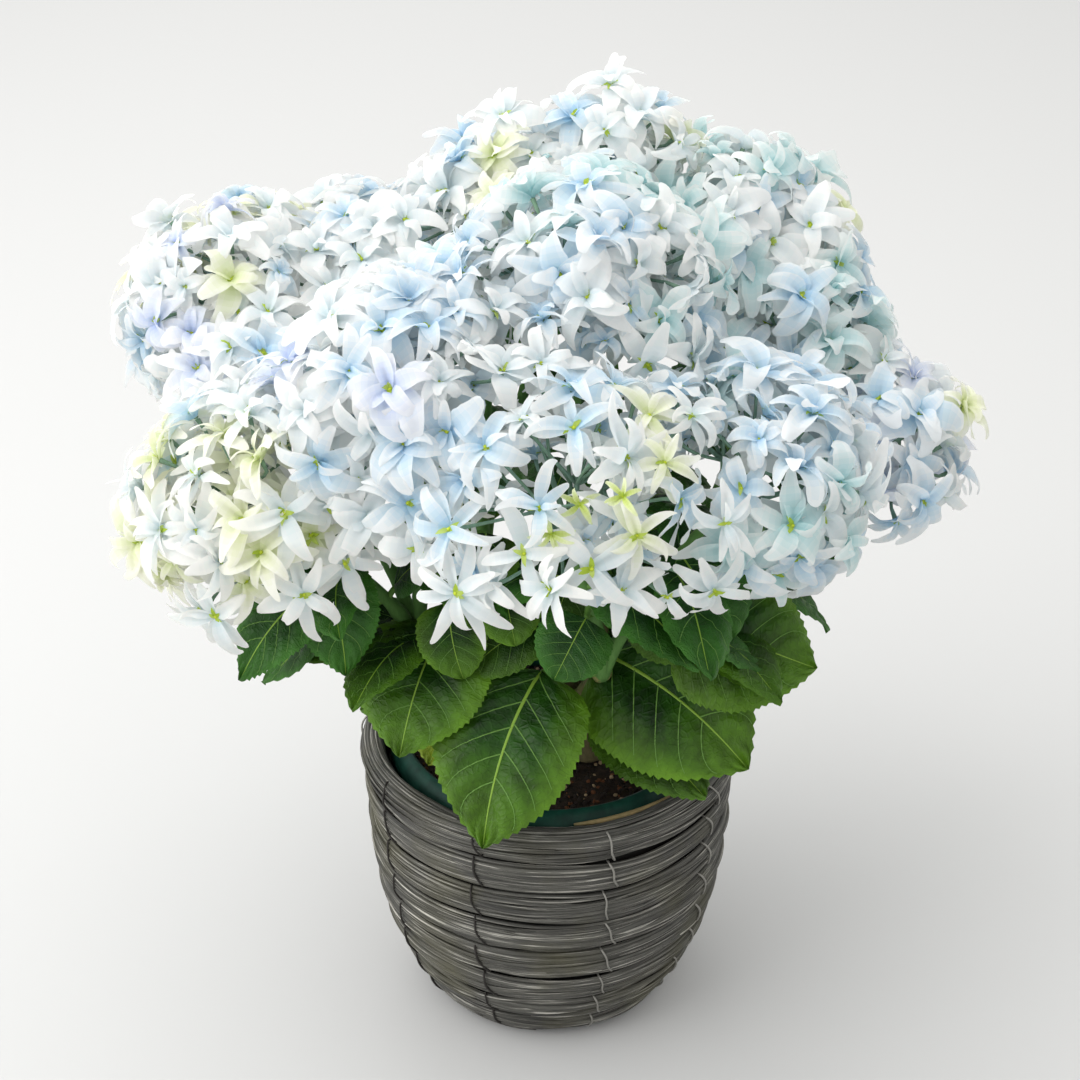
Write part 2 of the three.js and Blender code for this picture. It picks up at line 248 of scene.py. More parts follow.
class Heap:
    """Many small shapes, in millimetres, that become one piece."""

    def __init__(self):
        self.points, self.faces, self.tints, self.maps, self.count, self.mapped = [], [], [], [], 0, False

    def add(self, points, faces, tints=0, maps=None):
        """Adds a shape. tints is one per group of faces, or one per face.

        maps is one pair per point, or one per corner of each group of faces.
        """
        points = np.asarray(points, float)
        self.points.append(points)
        groups = faces if isinstance(faces, list) else [faces]
        for index, group in enumerate(groups):
            self.faces.append(np.asarray(group) + self.count)
            tint = tints[index] if isinstance(tints, list) else tints
            self.tints.append(np.broadcast_to(tint, len(group)).astype(int))
            if maps is None:
                corners = np.zeros((group.size, 2))
            else:
                corners = (maps[index] if isinstance(maps, list) else maps[group]).reshape(-1, 2)
            self.maps.append(corners)
        self.mapped = self.mapped or maps is not None
        self.count += len(points)

    def piece(self, name, materials, slot, nodes=(), smooth=True):
        mesh = bpy.data.meshes.new(name)
        points = np.concatenate(self.points) * MM
        used, tints = np.unique(np.concatenate(self.tints), return_inverse=True)
        sizes = np.concatenate([np.full(len(group), group.shape[1]) for group in self.faces])
        corners = np.concatenate([group.ravel() for group in self.faces])
        mesh.vertices.add(len(points))
        mesh.vertices.foreach_set("co", points.ravel())
        mesh.loops.add(len(corners))
        mesh.loops.foreach_set("vertex_index", corners)
        mesh.polygons.add(len(sizes))
        mesh.polygons.foreach_set("loop_start", np.concatenate([[0], np.cumsum(sizes)[:-1]]))
        mesh.polygons.foreach_set("material_index", tints)
        mesh.polygons.foreach_set("use_smooth", np.full(len(sizes), smooth))
        if self.mapped:
            layer = mesh.uv_layers.new(name="UVMap")
            layer.data.foreach_set("uv", np.concatenate(self.maps).ravel())
        for tint in used:
            mesh.materials.append(materials[tint])
        mesh.update(calc_edges=True)
        mesh.validate()
        made = bpy.data.objects.new(name, mesh)
        bpy.context.collection.objects.link(made)
        place(made, nodes)


def place(piece, nodes=()):
    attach(piece, "root")
    if nodes:
        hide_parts(*nodes)


def tube(path, radii, sides, relief=None, closed=False):
    """A round limb along points, with its faces. relief is added to the radius at each point."""
    path = np.asarray(path, float)
    count = len(path)
    if closed:
        tangents = np.roll(path, -1, 0) - np.roll(path, 1, 0)
    else:
        tangents = np.gradient(path, axis=0)
    tangents /= np.linalg.norm(tangents, axis=1)[:, None]
    side = np.cross(tangents[0], UP if abs(tangents[0][2]) < 0.9 else [1.0, 0.0, 0.0])
    rings = np.empty((count, sides, 3))
    angles = np.arange(sides) * 2 * math.pi / sides
    radii = np.broadcast_to(radii, count)
    for i in range(count):
        side = side - tangents[i] * side.dot(tangents[i])
        side /= np.linalg.norm(side)
        across = np.cross(tangents[i], side)
        reach = radii[i] + (0 if relief is None else relief[i])
        ring = np.cos(angles)[:, None] * side + np.sin(angles)[:, None] * across
        rings[i] = path[i] + ring * np.broadcast_to(reach, sides)[:, None]
    caps = np.stack([np.arange(sides)[::-1], (count - 1) * sides + np.arange(sides)])
    return rings.reshape(-1, 3), ring_faces(count, sides, closed), caps


def bezier(points, shares):
    """Points at shares of a Bezier curve's parameter."""
    points = np.asarray(points, float)
    degree = len(points) - 1
    shares = np.asarray(shares, float)[:, None]
    weights = (math.comb(degree, k) * (1 - shares) ** (degree - k) * shares**k for k in range(degree + 1))
    return sum(weight * point for weight, point in zip(weights, points))


def along(points, count):
    """A Bezier curve as evenly spaced points."""
    fine = bezier(points, np.linspace(0, 1, 200))
    lengths = np.concatenate([[0], np.cumsum(np.linalg.norm(np.diff(fine, axis=0), axis=1))])
    marks = np.linspace(0, lengths[-1], count)
    return np.stack([np.interp(marks, lengths, fine[:, k]) for k in range(3)], 1)


# ---- Trunk, boughs and stems ----


def bark_skin(name, dark, light, moss, scale_mm, depth):
    """Woody bark: lengthwise cracks and paler ridges, dull all over."""
    made, tree, shader, output = new_material(name, 0.8)
    where = add_node(tree, "ShaderNodeTexCoord")
    stretch = add_node(tree, "ShaderNodeMapping", {"Scale": (1, 1, 0.22)}, _Vector=where.outputs["Object"])
    grain = add_node(tree, "ShaderNodeTexNoise", {"Scale": 1000 / scale_mm, "Detail": 6.0, "Roughness": 0.65},
                     _Vector=stretch.outputs[0])
    ramp = add_node(tree, "ShaderNodeValToRGB", _Fac=grain.outputs[0])
    set_ramp(ramp, (0.32, dark), (0.7, light))
    # Greener patches, about 17 mm across.
    patches = add_node(tree, "ShaderNodeTexNoise", {"Scale": 60.0, "Detail": 2.0},
                       _Vector=where.outputs["Object"])
    mix = add_node(tree, "ShaderNodeMix", {"data_type": "RGBA", 7: linear(moss)}, _0=patches.outputs[0],
                   _6=ramp.outputs[0])
    bump = add_node(tree, "ShaderNodeBump", {"Strength": 0.7, "Distance": depth * MM},
                    _Height=grain.outputs[0])
    tree.links.new(mix.outputs[2], shader.inputs["Base Color"])
    tree.links.new(bump.outputs[0], shader.inputs["Normal"])
    return made


# Old wood at the foot: cracked grey-brown bark. Cracks about 3 mm apart.
OLD_BARK = bark_skin("cracked_woody_bark", "#3a2c1f", "#8d7656", "#6a6a42", 3.0, 0.7)
# Last year's wood: thin tan bark with a green cast. Streaks about 2 mm apart.
YOUNG_BARK = bark_skin("young_tan_bark", "#57492f", "#a08f5e", "#6f7d3f", 2.0, 0.3)
# This year's shoots: smooth green skin with faint reddish-brown freckles 1.5 mm apart.
GREEN_SKIN = bark_skin("smooth_green_shoot_skin", "#3f6a2c", "#5d8a41", "#56803c", 1.5, 0.08)


def rugged(path, sides, depth, pitch, nodes_at=()):
    """Radius relief of a limb: lengthwise ridges, and the swollen rings where leaves have stood."""
    count = len(path)
    relief = np.empty((count, sides))
    for i in range(count):
        for j in range(sides):
            angle = 2 * math.pi * j / sides
            at = Vector((3 * math.cos(angle), 3 * math.sin(angle), path[i][2] / pitch))
            relief[i, j] = depth * noise.noise(at + Vector(path[0] / 10))
    for share in nodes_at:
        swelling = np.exp(-(((np.linspace(0, 1, count) - share) * count / 1.4) ** 2))
        relief += 0.9 * swelling[:, None]
    return relief


def limb_piece(name, path, radii, sides, relief, material, slot, nodes):
    points, quads, caps = tube(path, radii, sides, relief)
    heap = Heap()
    heap.add(points, [quads, caps], [0, 0])
    heap.piece(name, [material], slot, nodes)


limb_lines = {}
TRUNK_RINGS, TRUNK_SIDES = 34, 28
BOUGH_RINGS, BOUGH_SIDES = 30, 14
STEM_RINGS, STEM_SIDES = 40, 12
shares = np.linspace(0, 1, TRUNK_RINGS)
trunk_line = along([TRUNK_FOOT, TRUNK_KNEE, TRUNK_TOP], TRUNK_RINGS)
taper = TRUNK_RADIUS + (TRUNK_TIP_RADIUS - TRUNK_RADIUS) * shares
trunk_radii = taper + (TRUNK_FLARE - TRUNK_RADIUS) * (1 - shares) ** 5
trunk_relief = rugged(trunk_line, TRUNK_SIDES, 1.1, 9.0)
trunk_points, quads, caps = tube(trunk_line, trunk_radii, TRUNK_SIDES, trunk_relief)
trunk_points[:, 2] = np.maximum(trunk_points[:, 2], SOIL_LEVEL)
heap = Heap()
heap.add(trunk_points, [quads, caps], [0, 0])
heap.piece("trunk_bark", [OLD_BARK], "bark", ["trunk"])
limb_lines["trunk"] = trunk_line

for name, fork in FORKS.items():
    end = np.array(fork, float)
    start = along([TRUNK_FOOT, TRUNK_KNEE, TRUNK_TOP], 11)[7]
    outwards = unit((end - start) * [1, 1, 0])
    line = along([start, start + outwards * 22 + UP * 16, end], BOUGH_RINGS)
    radii = BOUGH_RADIUS + (STEM_RADIUS + 0.6 - BOUGH_RADIUS) * np.linspace(0, 1, BOUGH_RINGS)
    relief = rugged(line, BOUGH_SIDES, 0.45, 7.0, (0.45, 0.98))
    limb_piece(f"{name}_bough_bark", line, radii, BOUGH_SIDES, relief, YOUNG_BARK, "bark", [f"bough_{name}"])
    limb_lines[name] = line

STEM_LINES = {}
STEM_STOP = 0.42  # a stem ends this share of its head's radius from the middle, where the stalks part
for name, (middle, radius, parent, slot, families) in HEADS.items():
    middle = np.array(middle, float)
    axis = unit(middle - PLANT_MIDDLE)
    fork = TRUNK_TOP if parent == "trunk" else np.array(FORKS[parent], float)
    reach = np.linalg.norm(fork - middle) / 3
    leaving = fork + unit([axis[0], axis[1], 2]) * reach
    line = along([fork - UP * 3, leaving, middle - axis * reach, middle], STEM_RINGS)
    inside = np.linalg.norm(line - middle, axis=1) < STEM_STOP * radius
    line = line[~inside]
    radii = STEM_RADIUS + (STEM_TIP_RADIUS - STEM_RADIUS) * np.linspace(0, 1, len(line))
    relief = rugged(line, STEM_SIDES, 0.12, 12.0, (0.3, 0.68))
    limb_piece(f"{name}_stem_skin", line, radii, STEM_SIDES, relief, GREEN_SKIN, "green_stem",
               [f"stem_{name}"])
    STEM_LINES[name] = line

# ---- Flower heads ----

# Outlines: shares of the length, widths there as shares of the greatest, and columns across. A sepal has a
# small blunt tip and a thin pale margin. The plain kind, for sepals that others nearly hide, has fewer rows.
OUTLINES = {
    "full": ([0, 0.08, 0.18, 0.3, 0.42, 0.54, 0.66, 0.78, 0.88, 0.95, 1.0],
             [0.34, 0.55, 0.78, 0.95, 1.0, 0.94, 0.81, 0.66, 0.53, 0.41, 0.17],
             [-1, -0.84, -0.45, 0, 0.45, 0.84, 1]),
    "plain": ([0, 0.22, 0.55, 0.85, 1.0], [0.36, 0.88, 0.92, 0.56, 0.16], [-1, 0, 1]),
    "bract": ([0, 0.35, 0.7, 1.0], [0.5, 1.0, 0.7, 0.08], [-1, 0, 1]),
}
# Which step of its tint each quad takes, from the deep foot to the pale tip. A margin is paler than its row.
# The plain kind, on the inner sepals that others nearly hide, starts at paler steps: painted light against
# the shade among them.
TINT_ROWS = {"full": [0, 1, 3, 4, 5, 6, 7, 7, 8, 8], "plain": [3, 6, 8, 9], "bract": [0, 0, 0]}
TINT_MARGINS = {"full": [2, 1, 0, 0, 1, 2], "plain": [0, 0], "bract": [0, 0]}
TINT_PLANS = {
    kind: np.minimum(np.array(rows)[:, None] + TINT_MARGINS[kind], TINT_STEPS - 1).ravel()
    for kind, rows in TINT_ROWS.items()
}
PLEAT = 0.09  # how far the two ribs beside the midrib stand up, as a share of half the width
EDGE_WAVE = 0.16  # how far the edges wave, as a share of half the width


def sepal(rng, length, width, rise, curl, keel, twist, bend, kind="full", rough=0.06, taper=1.0):
    """One sepal that leaves the origin along +X. rise, curl, twist and bend are in radians."""
    t, widths, across = (np.array(values, float) for values in OUTLINES[kind])
    slope = rise - (rise + curl) * t**1.9
    step = np.diff(t, prepend=0) * length
    middle = np.stack([np.cumsum(step * np.cos(slope)), np.zeros_like(t), np.cumsum(step * np.sin(slope))], 1)
    normal = np.stack([-np.sin(slope), np.zeros_like(t), np.cos(slope)], 1)
    turn = (twist * t**1.3)[:, None]
    side = np.array([0.0, 1.0, 0.0]) * np.cos(turn) + normal * np.sin(turn)
    face = normal * np.cos(turn) - np.array([0.0, 1.0, 0.0]) * np.sin(turn)
    half = widths**taper * width / 2
    ragged = 1 + rough * rng.uniform(-1, 1, (len(t), 2))
    reach = half[:, None] * across * np.where(across < 0, ragged[:, :1], ragged[:, 1:])
    lift = keel * (1.25 - 1.75 * t)[:, None] * half[:, None] * np.abs(across) ** 1.3
    waves = np.sin(9 * t[:, None] + np.where(across < 0, *rng.uniform(0, 6.28, 2)))
    lift = lift + EDGE_WAVE * half[:, None] * waves * across**2
    lift = lift + PLEAT * half[:, None] * np.sin(math.pi * np.abs(across)) ** 2
    points = middle[:, None] + side[:, None] * reach[..., None] + face[:, None] * lift[..., None]
    angle = bend * t**2
    x = points[..., 0] * np.cos(angle)[:, None] - points[..., 1] * np.sin(angle)[:, None]
    y = points[..., 0] * np.sin(angle)[:, None] + points[..., 1] * np.cos(angle)[:, None]
    return np.stack([x, y, points[..., 2]], -1).reshape(-1, 3), sheet_faces(len(t), len(across))


BUD_RINGS = np.array([[0.25, 0], [0.9, 0.35], [1.0, 0.75], [0.6, 1.25], [0.12, 1.5]])


def bud(radius, sides=5):
    angles = np.arange(sides) * 2 * math.pi / sides
    ring = np.stack([np.cos(angles), np.sin(angles)], 1)
    points = np.concatenate([np.column_stack([ring * out, np.full(sides, up)]) for out, up in BUD_RINGS])
    top = (len(BUD_RINGS) - 1) * sides + np.arange(sides)[None, :]
    return points * radius, ring_faces(len(BUD_RINGS), sides), top


def spun(azimuth):
    c, s = math.cos(azimuth), math.sin(azimuth)
    return np.array([[c, -s, 0], [s, c, 0], [0, 0, 1]])


BROAD_SHARE = 0.15  # how many sepals are broad and ragged, on florets that aren't slim


def floret(heap, rng, at, turn, size, family, droop=0.0, counts=None, slim=(0.34, 0.5), kind="full"):
    """A double star: two or three whorls of sepals round a tuft of yellow-green bracts and a bud."""
    tint = TISSUE_INDEX[family]

    def set_out(points, azimuth):
        """Points turned to a sepal's bearing and the floret's own way, in their place."""
        return points @ (turn @ spun(azimuth)).T + at

    outer = int(rng.integers(4, 6))
    counts = counts or (outer, outer - int(rng.random() < 0.4), int(rng.choice([0, 2, 2, 3])))
    # Each whorl: how many sepals, their share of the size, their rise and their curl back.
    whorls = zip(counts, (1.0, 0.9, 0.64), (0.38, 0.74, 1.02), (0.85, 0.8, 0.4))
    start = rng.uniform(0, 2 * math.pi)
    taper = rng.uniform(0.75, 1.3)
    for level, (count, share, rise, curl) in enumerate(whorls):
        for k in range(count):
            azimuth = start + (k + 0.5 * (level % 2)) * 2 * math.pi / count + rng.normal(0, 0.15)
            length = size * share * rng.uniform(0.84, 1.12)
            broad = rng.random() < BROAD_SHARE and slim[1] > 0.4
            points, faces = sepal(
                rng,
                length,
                length * (0.56 if broad else rng.uniform(*slim)),
                rise + rng.normal(0, 0.22) - droop,
                curl * rng.uniform(0.4, 2.3),
                rng.uniform(0.1, 1.1) if rng.random() < 0.8 else rng.uniform(-0.5, 0.1),
                rng.normal(0, 0.5),
                rng.normal(0, 0.26),
                kind,
                0.13 if broad else 0.05,
                taper,
            )
            points = points + [size * 0.03, 0, level * size * 0.06]
            tints = tint + np.minimum(TINT_PLANS[kind] + int(rng.integers(0, 3)), TINT_STEPS - 1)
            heap.add(set_out(points, azimuth), faces, tints)
    for k in range(int(rng.integers(3, 6))):
        length, rise = size * rng.uniform(0.14, 0.28), rng.uniform(0.4, 1.2)
        points, faces = sepal(rng, length, size * 0.09, rise, 0.2, 0.5, 0.2, 0.1, "bract")
        points = set_out(points + [0, 0, size * 0.08], rng.uniform(0, 2 * math.pi))
        heap.add(points, faces, TISSUE_INDEX["lime"] + int(rng.integers(0, 4)))
    if kind == "full":
        points, quads, top = bud(size * 0.045)
        heap.add((points + [0, 0, size * 0.07]) @ turn.T + at, [quads, top], [BUD, BUD])


def spiral(count):
    """Directions spread evenly over a ball."""
    k = np.arange(count) + 0.5
    z = 1 - 2 * k / count
    angle = k * math.pi * (3 - math.sqrt(5))
    out = np.sqrt(1 - z**2)
    return np.stack([out * np.cos(angle), out * np.sin(angle), z], 1)


SEPAL_LENGTH = 24.0
MIDDLES = np.array([head[0] for head in HEADS.values()], float)
RADII = np.array([head[1] for head in HEADS.values()], float)
# Sepals reach out past the places of their florets, most on the small heads.
REACH = dict(right=6, right_back=8, top_right=5, top=9, top_left=12, back_left=12, left_back=5, centre_left=3)
RADII -= [REACH.get(name, 2) for name in HEADS]
AXES = np.array([unit(middle - PLANT_MIDDLE) for middle in MIDDLES])
UNDERSIDE = 0.3  # how much flatter a head is below
MERGING = 17.0  # how softly neighbouring heads run into each other
PLACE_COUNT = 520  # how many directions are tried round each head
RAY_COUNT = 14  # how many stalks a stem parts into
BARE_BELOW = -0.62  # no florets where the outline looks further down than this


def crown(points):
    """How far points are outside the crown's merged outline, and outside each head's own."""
    apart = points[..., None, :] - MIDDLES
    distance = np.linalg.norm(apart, axis=-1)
    below = np.maximum(0, -(apart * AXES).sum(-1) / np.maximum(distance, 1e-6))
    gaps = distance - RADII * (1 - UNDERSIDE * below)
    return -MERGING * np.log(np.exp(-gaps / MERGING).sum(-1)), gaps


def outward(points):
    """The crown's outward direction at points."""
    slopes = [crown(points + step)[0] - crown(points - step)[0] for step in np.eye(3) * 2]
    slopes = np.stack(slopes, -1)
    return slopes / np.linalg.norm(slopes, axis=-1)[:, None]


def florets_at(depth, spacing, lowest, rng, taken):
    """Places at one depth inside the crown, no closer than spacing: each with its head and its way out."""
    points, owners = [], []
    for index in range(len(HEADS)):
        directions = spiral(PLACE_COUNT) @ facing(AXES[index], rng.uniform(0, 6.28)).T
        directions = directions[directions @ AXES[index] > lowest]
        near, far = (np.full(len(directions), share * RADII[index]) for share in (0.1, 1.8))
        for halving in range(16):
            half = (near + far) / 2
            inside = crown(MIDDLES[index] + directions * half[:, None])[0] < -depth
            near, far = np.where(inside, half, near), np.where(inside, far, half)
        found = MIDDLES[index] + directions * near[:, None]
        own = crown(found)[1].argmin(-1) == index
        points.append(found[own])
        owners.append(np.full(own.sum(), index))
    points, owners = np.concatenate(points), np.concatenate(owners)
    ways = outward(points)
    kept = list(taken)
    places = []
    for i in rng.permutation(len(points)):
        if ways[i, 2] <= BARE_BELOW:
            continue
        if not kept or np.linalg.norm(np.array(kept) - points[i], axis=1).min() > spacing:
            kept.append(points[i])
            places.append((owners[i], points[i], ways[i]))
    return places


# Open stars that stand clear of the rest: head, place, the way they look, size, family, counts.
HANGING = [
    ("front", (-40, -150, 326), (-0.15, -0.85, 0.25), 27, "white", (8, 3, 0)),
    ("front", (-11, -150, 345), (-0.1, -0.8, 0.3), 25, "white", (4, 2, 0)),
    ("front", (17, -153, 340), (0.05, -0.85, 0.15), 29, "white", (4, 2, 0)),
    ("front", (50, -144, 320), (0.15, -0.85, 0.3), 18, "white", (4, 1, 0)),
    ("front", (70, -140, 322), (0.3, -0.8, -0.1), 22, "white", (5, 3, 0)),
    ("front", (74, -136, 352), (0.2, -0.8, 0.3), 20, "white", (5, 3, 2)),
    ("front", (-42, -142, 352), (-0.35, -0.75, 0.4), 26, "sky", (5, 3, 0)),
    ("front", (-5, -149, 366), (0.0, -0.75, 0.5), 24, "sky", (4, 3, 2)),
    ("front", (36, -150, 354), (0.1, -0.85, 0.2), 21, "cream", (5, 3, 0)),
    ("front", (30, -150, 372), (-0.2, -0.8, 0.3), 11, "lime", (4, 3, 0)),
    ("front", (0, -153, 356), (0.0, -0.9, 0.1), 12, "lime", (4, 3, 2)),
    ("front", (12, -146, 366), (0.1, -0.8, 0.4), 11, "lime", (4, 2, 0)),
    ("front", (48, -132, 378), (0.1, -0.6, 0.6), 20, "cream", (5, 3, 2)),
    ("front", (42, -112, 390), (0.1, -0.5, 0.8), 22, "cream", (5, 4, 2)),
    ("front", (60, -108, 388), (0.3, -0.4, 0.8), 20, "white", (4, 4, 2)),
    ("front", (10, -128, 392), (-0.1, -0.6, 0.7), 24, "sky", (4, 3, 0)),
    ("front", (-4, -91, 405), (0.0, -0.6, 0.75), 25, "white", (5, 4, 2)),
    ("front_right", (114, -104, 315), (0.3, -0.75, -0.2), 26, "sky", (5, 4, 0)),
    ("front_right", (104, -125, 345), (0.2, -0.8, 0.3), 25, "aqua", (5, 3, 0)),
    ("right", (173, -56, 322), (0.4, -0.7, -0.2), 24, "sky", (4, 4, 0)),
    ("centre_left", (-68, -111, 402), (-0.1, -0.7, 0.6), 26, "lavender", (5, 4, 0)),
    ("centre_left", (-80, -111, 341), (0.0, -0.85, 0.35), 25, "white", (5, 4, 2)),
    ("centre_left", (-62, -118, 352), (0.1, -0.8, 0.4), 24, "sky", (5, 4, 0)),
    ("centre_left", (-58, -122, 333), (0.0, -0.85, 0.1), 22, "white", (4, 4, 0)),
    ("left_back", (-139, 68, 419), (-0.1, -0.3, 0.9), 25, "white", (5, 4, 2)),
    ("top", (12, 80, 463), (-0.1, -0.4, 0.9), 25, "sky", (5, 4, 0)),
    ("top", (44, 75, 464), (0.2, -0.3, 0.9), 26, "white", (5, 4, 2)),
    ("right_back", (118, -6, 402), (0.2, -0.5, 0.8), 25, "sky", (5, 4, 0)),
    ("left_front", (-117, -109, 342), (0.05, -0.8, 0.5), 28, "white", (5, 4, 0)),
    ("left_front", (-92, -101, 313), (-0.1, -0.85, 0.2), 25, "white", (5, 4, 0)),
    ("left_front", (-88, -98, 332), (0.2, -0.8, 0.4), 23, "white", (4, 4, 2)),
    ("left_front", (-150, -112, 292), (-0.2, -0.8, 0.1), 24, "white", (5, 3, 0)),
    ("left_front", (-110, -114, 304), (0.1, -0.85, 0.3), 24, "white", (5, 4, 0)),
    ("left_front", (-158, -97, 286), (-0.3, -0.75, -0.3), 23, "white", (5, 3, 0)),
    ("right", (164, -50, 308), (0.3, -0.7, -0.4), 20, "sky", (5, 3, 0)),
    ("right", (187, -38, 317), (0.5, -0.6, -0.3), 19, "white", (5, 3, 0)),
    ("top_left", (-22, 76, 464), (-0.3, -0.4, 0.9), 24, "white", (5, 4, 2)),
    # Between the left heads.
    ("left_back", (-165, -20, 372), (-0.2, -0.7, 0.6), 24, "lavender", (5, 4, 2)),
    ("left_back", (-149, -25, 384), (0.0, -0.6, 0.8), 24, "white", (5, 4, 2)),
    ("left_back", (-134, -26, 382), (0.2, -0.7, 0.7), 25, "sky", (5, 4, 0)),
    ("left_back", (-133, -6, 394), (0.1, -0.5, 0.8), 24, "white", (5, 4, 2)),
    ("left_back", (-148, 2, 390), (-0.1, -0.6, 0.8), 22, "white", (5, 4, 0)),
    ("left_front", (-156, -35, 364), (-0.1, -0.6, 0.8), 24, "white", (5, 4, 2)),
    ("left_front", (-138, -42, 372), (0.1, -0.7, 0.7), 23, "white", (5, 4, 2)),
    ("left_front", (-169, -30, 356), (-0.3, -0.6, 0.6), 22, "white", (5, 3, 2)),
    ("top_left", (-84, 34, 421), (0.0, -0.6, 0.8), 25, "white", (5, 4, 2)),
    ("back_left", (-99, 42, 424), (-0.2, -0.5, 0.8), 24, "sky", (5, 4, 2)),
    ("top_left", (-70, 32, 426), (0.1, -0.5, 0.9), 24, "white", (5, 4, 2)),
    ("top_left", (-90, 19, 411), (0.0, -0.6, 0.8), 24, "white", (5, 4, 2)),
    ("back_left", (-112, 30, 412), (-0.1, -0.5, 0.8), 24, "white", (5, 4, 2)),
    ("left_back", (-105, 14, 398), (0.1, -0.4, 0.9), 24, "white", (5, 4, 2)),
    ("centre_left", (-86, 3, 400), (-0.1, 0.0, 1.0), 24, "sky", (5, 4, 2)),
    ("centre_left", (-66, 6, 410), (0.0, -0.2, 1.0), 24, "white", (5, 4, 2)),
    ("top_left", (-76, 20, 406), (0.0, -0.3, 1.0), 23, "white", (5, 4, 0)),
    ("left_back", (-98, -12, 388), (0.0, -0.5, 0.9), 23, "white", (5, 4, 2)),
    # Between the right heads, low down and at the top.
    ("centre", (80, -14, 382), (0.3, -0.4, 0.8), 24, "aqua", (5, 4, 2)),
    ("right_back", (95, -6, 374), (0.1, -0.5, 0.9), 24, "sky", (5, 4, 2)),
    ("top_right", (85, 25, 432), (0.1, -0.6, 0.8), 25, "white", (5, 4, 2)),
    ("right_back", (89, 18, 420), (0.0, -0.7, 0.6), 25, "sky", (5, 4, 2)),
    ("right_back", (94, 12, 408), (0.2, -0.7, 0.6), 24, "aqua", (5, 4, 0)),
    ("top_right", (77, 12, 428), (-0.1, -0.6, 0.8), 24, "aqua", (5, 4, 2)),
    ("centre", (71, 0, 416), (0.3, -0.6, 0.7), 24, "white", (5, 4, 2)),
    # Cream stars along the upper edge.
    ("left_back", (-204, 40, 396), (-0.6, -0.2, 0.7), 19, "cream", (5, 3, 0)),
    ("left_back", (-173, 60, 410), (-0.3, -0.2, 0.9), 19, "cream", (5, 3, 2)),
    ("top_right", (144, 60, 420), (0.7, -0.3, 0.6), 21, "cream", (5, 4, 0)),
    ("right", (196, -20, 352), (0.5, -0.4, 0.7), 20, "cream", (5, 4, 2)),
]
SMALL_SHARE = 0.12  # how many florets have hardly opened
SLIM_HEADS = ("front", "left_front")
# The front heads are open, with dark gaps: the share of florets left out of each shell.
OPENNESS = {"front": (0.24, 0.8, 1.0), "front_right": (0.2, 0.8, 1.0), "right": (0.15, 0.65, 1.0)}
FRINGE_HEIGHT = 318.0  # below this the front head has only its few hanging stars

# Stalks of the heads: pale blue-grey with a waxy bloom, as thin as a match.
STALK_SKIN = bark_skin("waxy_blue_grey_stalk_skin", "#5b7a78", "#88a39c", "#6f9068", 2.0, 0.05)

rng = np.random.default_rng(41)
names = list(HEADS)
hung = [np.array(row[1], float) for row in HANGING]
shells = [
    florets_at(12.0, 16.0, -0.28, rng, hung),
    florets_at(25.0, 18.5, -0.12, rng, []),
    florets_at(37.0, 21.0, 0.0, rng, []),
]
blossom, stalks = {name: Heap() for name in names}, {name: Heap() for name in names}
rays = {}
for index, name in enumerate(names):
    root, middle, radius, axis = STEM_LINES[name][-1], MIDDLES[index], RADII[index], AXES[index]
    directions = spiral(RAY_COUNT) @ facing(axis).T
    rays[name] = [middle + way * radius * 0.3 for way in directions if way.dot(axis) > -0.45]
    for ray in rays[name]:
        line = along([root, (root + ray) / 2 + axis * 6, ray], 5)
        points, quads, caps = tube(line, [1.9, 1.6, 1.5, 1.4, 1.2], 6)
        stalks[name].add(points, [quads, caps], [0, 0])


def stalked_floret(name, at, look, size, family, **habit):
    floret(blossom[name], rng, at, facing(look, rng.uniform(0, 6.28)), size, family, **habit)
    ray = min(rays[name], key=lambda point: np.linalg.norm(point - at))
    line = along([ray, (ray + at) / 2 - look * 4, at - look * 8, at], 6)
    points, quads, caps = tube(line, [1.1, 0.85, 0.8, 0.8, 0.9, 1.3], 5)
    stalks[name].add(points, [quads, caps], [0, 0])


for level, places in enumerate(shells):
    for index, at, way in places:
        name = names[index]
        if way[1] < -0.2 and rng.random() < OPENNESS.get(name, (0, 0, 0))[level]:
            continue
        if name == "front" and at[1] < -120 and at[2] < FRINGE_HEIGHT:
            continue
        families = HEADS[name][4]
        weights = np.array(list(families.values()), float)
        family = list(families)[rng.choice(len(weights), p=weights / weights.sum())]
        look = unit(way + 0.15 * UP + rng.normal(0, 0.4, 3))
        small = rng.random() < SMALL_SHARE
        size = SEPAL_LENGTH * (rng.uniform(0.6, 0.8) if small else rng.uniform(0.88, 1.12))
        at = at + way * rng.uniform(-5, 5)
        droop = 0.25 * max(0.0, -way[2]) - (0.2 if level else 0.0)
        slim = (0.26, 0.4) if name in SLIM_HEADS else (0.32, 0.48)
        # Inner shells take the plain kind, whose paler tints are painted light in their shade.
        kind = "plain" if level else "full"
        stalked_floret(name, at, look, size, family, droop=droop, slim=slim, kind=kind)
for name, place_at, look, size, family, counts in HANGING:
    if counts[0] > 6 or family == "lime":
        slim = (0.2, 0.27)
    else:
        slim = (0.23, 0.34) if name in SLIM_HEADS else (0.32, 0.46)
    at = np.array(place_at, float)
    stalked_floret(name, at, unit(look), size, family, counts=counts, slim=slim, droop=0.1)
for name in names:
    blossom[name].piece(f"{name}_blossom", TISSUES, HEADS[name][3], [f"flowers_{name}"])
    stalks[name].piece(f"{name}_blossom_stalks", [STALK_SKIN], "green_stem")

# ---- Leaves ----

